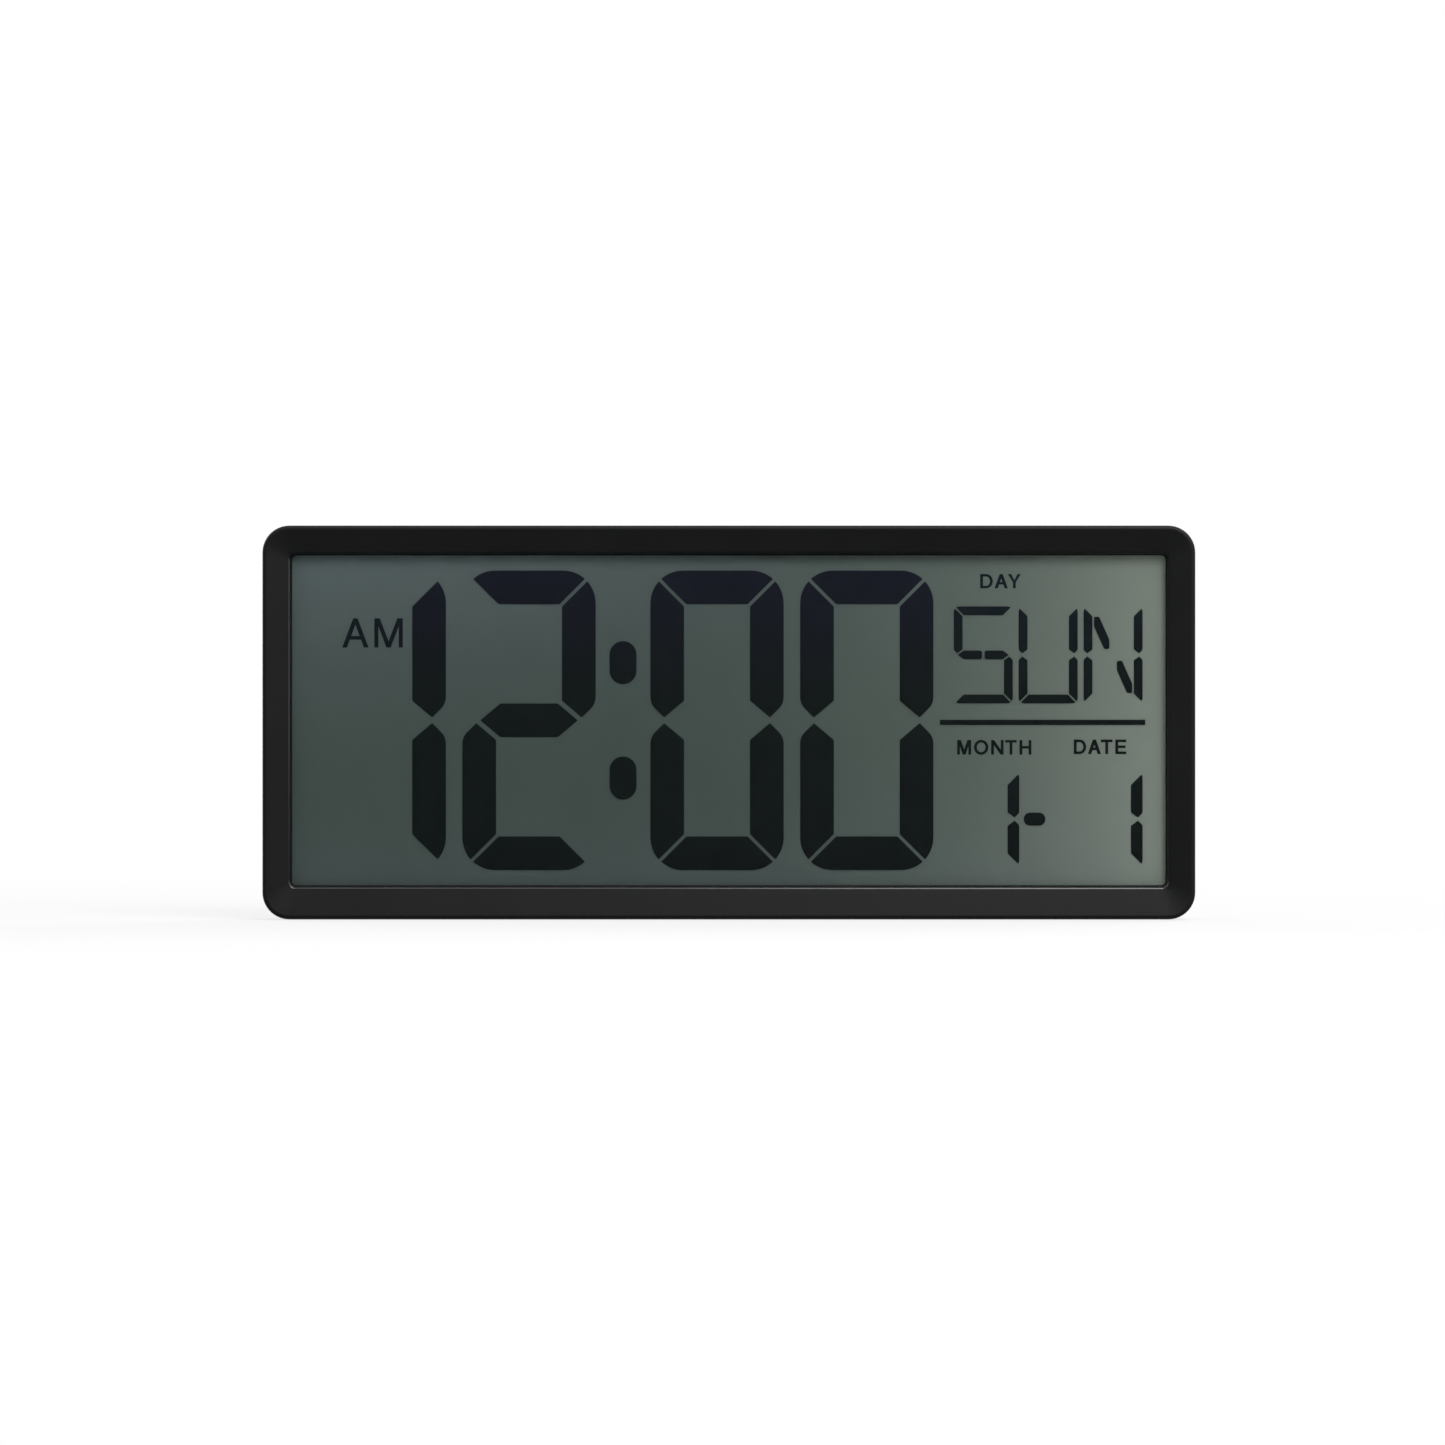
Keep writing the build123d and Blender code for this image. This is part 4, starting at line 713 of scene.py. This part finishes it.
def add_cloth():
    """Dark cloth before the clock and up behind the camera, which shows only in reflections."""
    bpy.ops.object.select_all(action="DESELECT")
    bpy.ops.mesh.primitive_plane_add(size=1.0)
    cloth = bpy.context.object
    cloth.name = "dark_cloth"
    middle = (CLOTH_NEAR + CLOTH_FAR) / 2
    cloth.scale = (CLOTH_WIDTH, CLOTH_NEAR - CLOTH_FAR, 1.0)
    cloth.location = (0.0, middle, CAD_LOW.z - CLOTH_DROP)
    apply_place()
    bpy.ops.object.mode_set(mode="EDIT")
    bpy.ops.mesh.select_mode(type="EDGE")
    bpy.ops.mesh.select_all(action="DESELECT")
    bpy.ops.object.mode_set(mode="OBJECT")
    points = cloth.data.vertices
    for edge in cloth.data.edges:
        edge.select = all(points[i].co.y < middle for i in edge.vertices)
    bpy.ops.object.mode_set(mode="EDIT")
    bpy.ops.mesh.extrude_region_move(TRANSFORM_OT_translate={"value": CLOTH_RISE})
    bpy.ops.object.mode_set(mode="OBJECT")
    tree = finish("dark_cloth_weave")
    weave = tree.grain(0.01, 2.0)
    dark = tree.blend(weave, (0.012, 0.012, 0.012, 1.0), (0.02, 0.02, 0.02, 1.0))
    tree.show(tree.node("ShaderNodeBsdfDiffuse", {}, {"Color": dark}))
    cloth.data.materials.append(tree.owner)
    cloth.visible_camera = False
    cloth.visible_diffuse = False
    cloth.visible_shadow = False
    cloth.visible_transmission = False


def set_world(scene, stage):
    """Plain light from all round, white where it is seen directly."""
    world = bpy.data.worlds.new("studio")
    scene.world = world
    tree = Tree(world)
    level = stage.world_level
    strength = level + (1.0 - level) * seen_directly(tree)
    sockets = {"Color": (1.0, 1.0, 1.0, 1.0), "Strength": strength}
    glow = tree.node("ShaderNodeBackground", {}, sockets)
    tree.node("ShaderNodeOutputWorld", {}, {"Surface": glow})


def add_camera(scene, stage):
    """A level camera before the clock, whose lens takes in the set width there."""
    bpy.ops.object.select_all(action="DESELECT")
    place = (stage.aside, CAD_LOW.y - stage.distance, 0.0)
    bpy.ops.object.camera_add(location=place, rotation=(math.radians(90.0), 0.0, 0.0))
    camera = bpy.context.object
    camera.name = "camera"
    camera.data.sensor_width = 36.0
    camera.data.lens = camera.data.sensor_width * stage.distance / stage.view_width
    camera.data.clip_end = 200.0
    scene.camera = camera


class CaseSettings(bpy.types.PropertyGroup):
    """Colours, textures and marks of the case."""

    frame_colour: bpy.props.FloatVectorProperty(
        name="Frame colour",
        description="Colour of the front frame",
        subtype="COLOR",
        default=(0.0062, 0.0065, 0.0068),
    )
    cover_colour: bpy.props.FloatVectorProperty(
        name="Cover colour",
        description="Colour of the rear cover",
        subtype="COLOR",
        default=(0.012, 0.012, 0.0125),
    )
    button_colour: bpy.props.FloatVectorProperty(
        name="Button colour",
        description="Colour of the buttons",
        subtype="COLOR",
        default=(0.035, 0.036, 0.038),
    )
    mark_colour: bpy.props.FloatVectorProperty(
        name="Mark colour",
        description="Colour of the marks by the buttons",
        subtype="COLOR",
        default=(0.30, 0.30, 0.30),
    )
    mark_gap: bpy.props.FloatProperty(
        name="Mark gap",
        description="Gap between a button and its mark",
        unit="LENGTH",
        default=0.0006,
    )
    mark_height: bpy.props.FloatProperty(
        name="Mark height",
        description="Height of the marks by the buttons",
        unit="LENGTH",
        default=0.0024,
    )
    mark_proud: bpy.props.FloatProperty(
        name="Mark relief",
        description="How far the marks stand off the surface",
        unit="LENGTH",
        default=0.00015,
    )
    frame_spot: bpy.props.FloatProperty(
        name="Frame texture",
        description="Size of the frame's fine texture",
        unit="LENGTH",
        default=0.0005,
    )
    cover_spot: bpy.props.FloatProperty(
        name="Cover texture",
        description="Size of the cover's fine texture",
        unit="LENGTH",
        default=0.0011,
    )


class DisplaySettings(bpy.types.PropertyGroup):
    """Colours and layers of the display."""

    field_dark: bpy.props.FloatVectorProperty(
        name="Field, dark side",
        description="Field at the left",
        subtype="COLOR",
        default=(0.0452, 0.0664, 0.0595),
    )
    # Painted light: the lighter colour the field is painted towards the right
    field_painted_lit: bpy.props.FloatVectorProperty(
        name="Field, pale side",
        description="Field at the right",
        subtype="COLOR",
        default=(0.237, 0.268, 0.232),
    )
    # Painted sheen: the cool reflection painted into the field's colour above and below
    field_painted_sheen: bpy.props.FloatVectorProperty(
        name="Field, edges",
        description="Sheen of the field above and below",
        subtype="COLOR",
        default=(0.23, 0.268, 0.315),
    )
    segment_low: bpy.props.FloatVectorProperty(
        name="Bars, below",
        description="Large bars in the lower half",
        subtype="COLOR",
        default=(0.0041, 0.0075, 0.0085),
    )
    segment_high: bpy.props.FloatVectorProperty(
        name="Bars, above",
        description="Large bars at the top",
        subtype="COLOR",
        default=(0.0062, 0.0072, 0.0168),
    )
    small_low: bpy.props.FloatVectorProperty(
        name="Small bars, below",
        description="Small bars and words in the lower half",
        subtype="COLOR",
        default=(0.0038, 0.0074, 0.0086),
    )
    small_high: bpy.props.FloatVectorProperty(
        name="Small bars, above",
        description="Small bars and words at the top",
        subtype="COLOR",
        default=(0.0042, 0.0090, 0.0150),
    )
    cell_play: bpy.props.FloatProperty(
        name="Cell play",
        description="Gap between the front glass and the dark bars",
        unit="LENGTH",
        default=0.00005,
    )
    word_proud: bpy.props.FloatProperty(
        name="Word thickness",
        description="Thickness of the display's words",
        unit="LENGTH",
        default=0.00012,
    )


class StageSettings(bpy.types.PropertyGroup):
    """Camera, lights and floor."""

    view_width: bpy.props.FloatProperty(
        name="View width",
        description="Width that the camera sees at the front of the clock",
        unit="LENGTH",
        default=0.5574,
    )
    distance: bpy.props.FloatProperty(
        name="Camera distance",
        description="From the camera to the front of the clock",
        unit="LENGTH",
        default=3.0,
    )
    aside: bpy.props.FloatProperty(
        name="Camera aside",
        description="How far the camera stands to the right",
        unit="LENGTH",
        default=-0.00245,
    )
    key_power: bpy.props.FloatProperty(
        name="Key light",
        description="Power of the high soft light",
        unit="POWER",
        default=21.0,
    )
    fill_power: bpy.props.FloatProperty(
        name="Fill light",
        description="Power of the low soft light at the right",
        unit="POWER",
        default=4.5,
    )
    back_power: bpy.props.FloatProperty(
        name="Back light",
        description="Power of the soft light behind, the left one having half of it",
        unit="POWER",
        default=14.0,
    )
    world_level: bpy.props.FloatProperty(
        name="Surroundings",
        description="Light from all round",
        subtype="FACTOR",
        default=0.48,
    )
    floor_colour: bpy.props.FloatVectorProperty(
        name="Floor colour",
        description="Colour of the floor",
        subtype="COLOR",
        default=(0.93, 0.93, 0.93),
    )


class CLOCK_OT_case(bpy.types.Operator):
    """Dress the front frame, the rear cover, the lid, the feet and the buttons"""

    bl_idname = "clock.case"
    bl_label = "Dress Case"

    def execute(self, context):
        case = context.scene.clock_case
        dress("front_frame", frame_plastic(case))
        cover = moulded(
            "cover_plastic",
            case.cover_colour,
            spot=case.cover_spot,
            depth=0.0003,
            roughness=0.55,
            shine=0.45,
        )
        for node in ("rear_cover", "battery_lid", "left_foot", "right_foot"):
            dress(node, cover)
        button = moulded(
            "button_plastic",
            case.button_colour,
            spot=0.0004,
            depth=0.00001,
            roughness=0.42,
            shine=0.45,
            cloud=0.006,
        )
        for key in KEYS:
            dress(key + "_button", button)
        return {"FINISHED"}


class CLOCK_OT_display(bpy.types.Operator):
    """Dress the window, its gasket and the display cell with its dark bars"""

    bl_idname = "clock.display"
    bl_label = "Dress Display"

    def execute(self, context):
        display = context.scene.clock_display
        window = window_plastic("clear_window", (0.995, 0.997, 0.995), least=0.014, roughness=0.10)
        dress("lens", window)
        dress("rear_glass", display_field(display))
        bars = dark_segment("large_bars", display.segment_low, display.segment_high)
        for group in ("hour", "minute", "colon"):
            dress(group + "_segments", bars)
        bars = dark_segment("small_bars", display.small_low, display.small_high)
        for node in ("day_segments", "date_segments", "divider_segment"):
            dress(node, bars)
        foam = soft_rubber("gasket_foam", (0.012, 0.012, 0.012), spot=0.0006, depth=0.00006)
        dress("lens_gasket", foam)
        seal = moulded(
            "seal_resin",
            (0.10, 0.12, 0.11),
            spot=0.001,
            depth=0.00001,
            roughness=0.35,
            shine=0.5,
            cloud=0.004,
        )
        dress("cell_seal", seal)
        film = plated(
            "reflector_film", (0.55, 0.58, 0.56), roughness=0.38, stretch=(1.0, 1.0, 0.2)
        )
        dress("reflector", film)
        return {"FINISHED"}


class CLOCK_OT_cell_front(bpy.types.Operator):
    """Model the front of the display cell, glass and polariser film, as one clear sheet"""

    bl_idname = "clock.cell_front"
    bl_label = "Model Cell Front"

    def execute(self, context):
        low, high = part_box("front_glass")
        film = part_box("front_polariser")[0]
        bpy.ops.object.select_all(action="DESELECT")
        bpy.ops.mesh.primitive_cube_add(size=1.0)
        piece = bpy.context.object
        piece.name = "cell_front"
        high.y -= context.scene.clock_display.cell_play
        piece.scale = high - low
        piece.location = (low + high) / 2
        apply_place()
        bpy.ops.object.mode_set(mode="EDIT")
        select_faces(piece, lambda normal: normal.y < -0.9)
        bpy.ops.mesh.inset(thickness=film.x - low.x)
        rise = (0.0, film.y - low.y, 0.0)
        bpy.ops.mesh.extrude_region_move(TRANSFORM_OT_translate={"value": rise})
        bpy.ops.object.mode_set(mode="OBJECT")
        clean_mesh(METRE_MERGE)
        sheet = window_plastic("cell_glass", (0.985, 0.992, 0.988), least=0.003, roughness=0.16)
        settle(piece, sheet, BODY)
        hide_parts("front_glass", "front_polariser")
        return {"FINISHED"}


class CLOCK_OT_words(bpy.types.Operator):
    """Set the display's words on the rear glass, in the layer of the dark bars"""

    bl_idname = "clock.words"
    bl_label = "Set Words"

    def execute(self, context):
        display = context.scene.clock_display
        ink = dark_segment("word_ink", display.small_low, display.small_high)
        for name, (text, box, weight) in WORDS.items():
            piece = add_word(name, text, weight)
            stand(piece, box, FIELD_LOW.y, display.word_proud, to_back=False)
            settle(piece, ink, BODY)
        return {"FINISHED"}


class CLOCK_OT_inside(bpy.types.Operator):
    """Dress the display tray, the boards and what is soldered to them"""

    bl_idname = "clock.inside"
    bl_label = "Dress Inside"

    def execute(self, context):
        tray = moulded(
            "tray_plastic",
            (0.42, 0.42, 0.40),
            spot=0.0008,
            depth=0.00002,
            roughness=0.5,
            shine=0.5,
        )
        dress("display_tray", tray)
        board = laminate("board_laminate", (0.02, 0.11, 0.04), (0.06, 0.22, 0.08))
        dress("main_board", board)
        dress("key_board", board)
        rubber, silver = (0.02, 0.02, 0.02), (0.42, 0.45, 0.48)
        strips = striped("strip_rubber", rubber, silver, pitch=0.0002, roughness=0.6)
        dress("contact_strips", strips)
        film, track = (0.55, 0.55, 0.54), (0.22, 0.22, 0.23)
        ribbon = striped("ribbon_film", film, track, pitch=0.001, roughness=0.45)
        dress("key_ribbon", ribbon)
        blob = moulded(
            "blob_resin",
            (0.006, 0.006, 0.006),
            spot=0.002,
            depth=0.00004,
            roughness=0.22,
            shine=0.5,
            cloud=0.005,
        )
        dress("controller_blob", blob)
        can = plated("crystal_can", (0.62, 0.62, 0.61), roughness=0.26, stretch=(0.2, 1.0, 1.0))
        dress("quartz_crystal", can)
        sleeve = moulded(
            "capacitor_sleeve",
            (0.02, 0.03, 0.07),
            spot=0.0008,
            depth=0.00001,
            roughness=0.35,
            shine=0.5,
            cloud=0.003,
        )
        dress("capacitors", sleeve)
        buzzer = moulded(
            "buzzer_plastic",
            (0.012, 0.012, 0.012),
            spot=0.0006,
            depth=0.00002,
            roughness=0.5,
            shine=0.4,
            cloud=0.006,
        )
        dress("buzzer", buzzer)
        switch = moulded(
            "switch_plastic",
            (0.02, 0.02, 0.022),
            spot=0.0005,
            depth=0.00001,
            roughness=0.45,
            shine=0.45,
            cloud=0.004,
        )
        dress("key_switches", switch)
        plunger = moulded(
            "plunger_plastic",
            (0.07, 0.07, 0.07),
            spot=0.0004,
            depth=0.00001,
            roughness=0.4,
            shine=0.5,
            cloud=0.003,
        )
        for key in KEYS:
            dress(key + "_plunger", plunger)
        return {"FINISHED"}


class CLOCK_OT_power(bpy.types.Operator):
    """Dress the two cells, their contacts and their leads"""

    bl_idname = "clock.power"
    bl_label = "Dress Power"

    def execute(self, context):
        dress("battery_upper", cell_jacket("upper_cell_jacket", "battery_upper", plus_side=1))
        dress("battery_lower", cell_jacket("lower_cell_jacket", "battery_lower", plus_side=-1))
        nickel = plated(
            "contact_nickel", (0.64, 0.62, 0.58), roughness=0.24, stretch=(1.0, 0.15, 1.0)
        )
        for node in ("contact_bridge", "contact_negative", "contact_positive"):
            dress(node, nickel)
        red = soft_rubber("lead_red", (0.42, 0.015, 0.012), spot=0.0006, depth=0.00002)
        dress("lead_positive", red)
        black = soft_rubber("lead_black", (0.012, 0.012, 0.012), spot=0.0006, depth=0.00002)
        dress("lead_negative", black)
        return {"FINISHED"}


class CLOCK_OT_fasteners(bpy.types.Operator):
    """Dress the screws"""

    bl_idname = "clock.fasteners"
    bl_label = "Dress Screws"

    def execute(self, context):
        zinc = plated("screw_zinc", (0.52, 0.52, 0.51), roughness=0.34, stretch=(1.0, 0.3, 1.0))
        for group in ("cover", "tray", "main_board", "key_board"):
            dress(group + "_screws", zinc)
        return {"FINISHED"}


class CLOCK_OT_marks(bpy.types.Operator):
    """Raise the small marks above the buttons and the arrow on the battery lid"""

    bl_idname = "clock.marks"
    bl_label = "Raise Marks"

    def execute(self, context):
        case = context.scene.clock_case
        ink = moulded(
            "mark_plastic",
            case.mark_colour,
            spot=0.0004,
            depth=0.00001,
            roughness=0.5,
            shine=0.4,
            cloud=0.004,
        )
        for key, (text, half) in KEY_MARKS.items():
            low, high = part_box(key + "_button")
            middle = (low.x + high.x) / 2
            bottom = high.z + case.mark_gap
            box = (middle - half, middle + half, bottom, bottom + case.mark_height)
            if text:
                piece = add_text(key + "_mark", text)
            else:
                piece = add_arrow(key + "_mark", down=key == "down")
            stand(piece, box, PANEL_FLOOR, case.mark_proud, to_back=True)
            settle(piece, ink, BODY)
        middle = (LID_LOW.x + LID_HIGH.x) / 2
        bottom = LID_LOW.z + LID_ARROW_RISE
        box = (middle - LID_ARROW_W / 2, middle + LID_ARROW_W / 2, bottom, bottom + LID_ARROW_H)
        piece = add_arrow("lid_mark")
        stand(piece, box, LID_FACE, case.mark_proud, to_back=True)
        # The lid's arrow is the cover's plastic made smoother, with its colour doubled as a painted
        # highlight
        smooth_painted_highlight = moulded(
            "lid_mark_plastic",
            tone(case.cover_colour, 2.0),
            spot=0.0004,
            depth=0.00001,
            roughness=0.34,
            shine=0.5,
            cloud=0.004,
        )
        settle(piece, smooth_painted_highlight, "battery_lid")
        return {"FINISHED"}


class CLOCK_OT_stage(bpy.types.Operator):
    """Set up the floor, the lights, the surroundings and the camera"""

    bl_idname = "clock.stage"
    bl_label = "Set Stage"

    def execute(self, context):
        stage = context.scene.clock_stage
        add_floor(stage)
        add_cloth()
        add_lamp("key_light", place=(0.5, -1.5, 1.1), size=0.9, power=stage.key_power)
        add_lamp("fill_light", place=(1.5, -1.7, 0.45), size=1.2, power=stage.fill_power)
        add_lamp("back_light_right", place=(0.9, 1.4, 1.0), size=1.2, power=stage.back_power)
        add_lamp("back_light_left", place=(-1.2, 1.2, 0.5), size=1.2, power=stage.back_power / 2)
        set_world(context.scene, stage)
        add_camera(context.scene, stage)
        context.scene.view_settings.view_transform = "Standard"
        return {"FINISHED"}


GROUPS = {
    "clock_case": CaseSettings,
    "clock_display": DisplaySettings,
    "clock_stage": StageSettings,
}
OPERATORS = (
    CLOCK_OT_case,
    CLOCK_OT_display,
    CLOCK_OT_cell_front,
    CLOCK_OT_words,
    CLOCK_OT_inside,
    CLOCK_OT_power,
    CLOCK_OT_fasteners,
    CLOCK_OT_marks,
    CLOCK_OT_stage,
)


class CLOCK_PT_panel(bpy.types.Panel):
    """The clock's steps and settings"""

    bl_idname = "CLOCK_PT_panel"
    bl_label = "LCD Wall Clock"
    bl_space_type = "VIEW_3D"
    bl_region_type = "UI"
    bl_category = "Clock"

    def draw(self, context):
        layout = self.layout
        for operator in OPERATORS:
            layout.operator(operator.bl_idname)
        for group in GROUPS:
            settings = getattr(context.scene, group)
            box = layout.box()
            for name in settings.bl_rna.properties.keys():
                if name not in ("rna_type", "name"):
                    box.prop(settings, name)


def register():
    for group in GROUPS.values():
        bpy.utils.register_class(group)
    for operator in OPERATORS:
        bpy.utils.register_class(operator)
    bpy.utils.register_class(CLOCK_PT_panel)
    for name, group in GROUPS.items():
        setattr(bpy.types.Scene, name, bpy.props.PointerProperty(type=group))


def unregister():
    for name in GROUPS:
        delattr(bpy.types.Scene, name)
    bpy.utils.unregister_class(CLOCK_PT_panel)
    for operator in reversed(OPERATORS):
        bpy.utils.unregister_class(operator)
    for group in reversed(GROUPS.values()):
        bpy.utils.unregister_class(group)


def main():
    register()
    bpy.ops.clock.case()
    bpy.ops.clock.display()
    bpy.ops.clock.cell_front()
    bpy.ops.clock.words()
    bpy.ops.clock.inside()
    bpy.ops.clock.power()
    bpy.ops.clock.fasteners()
    bpy.ops.clock.marks()
    bpy.ops.clock.stage()
    bpy.context.view_layer.update()


if __name__ == "__main__":
    main()
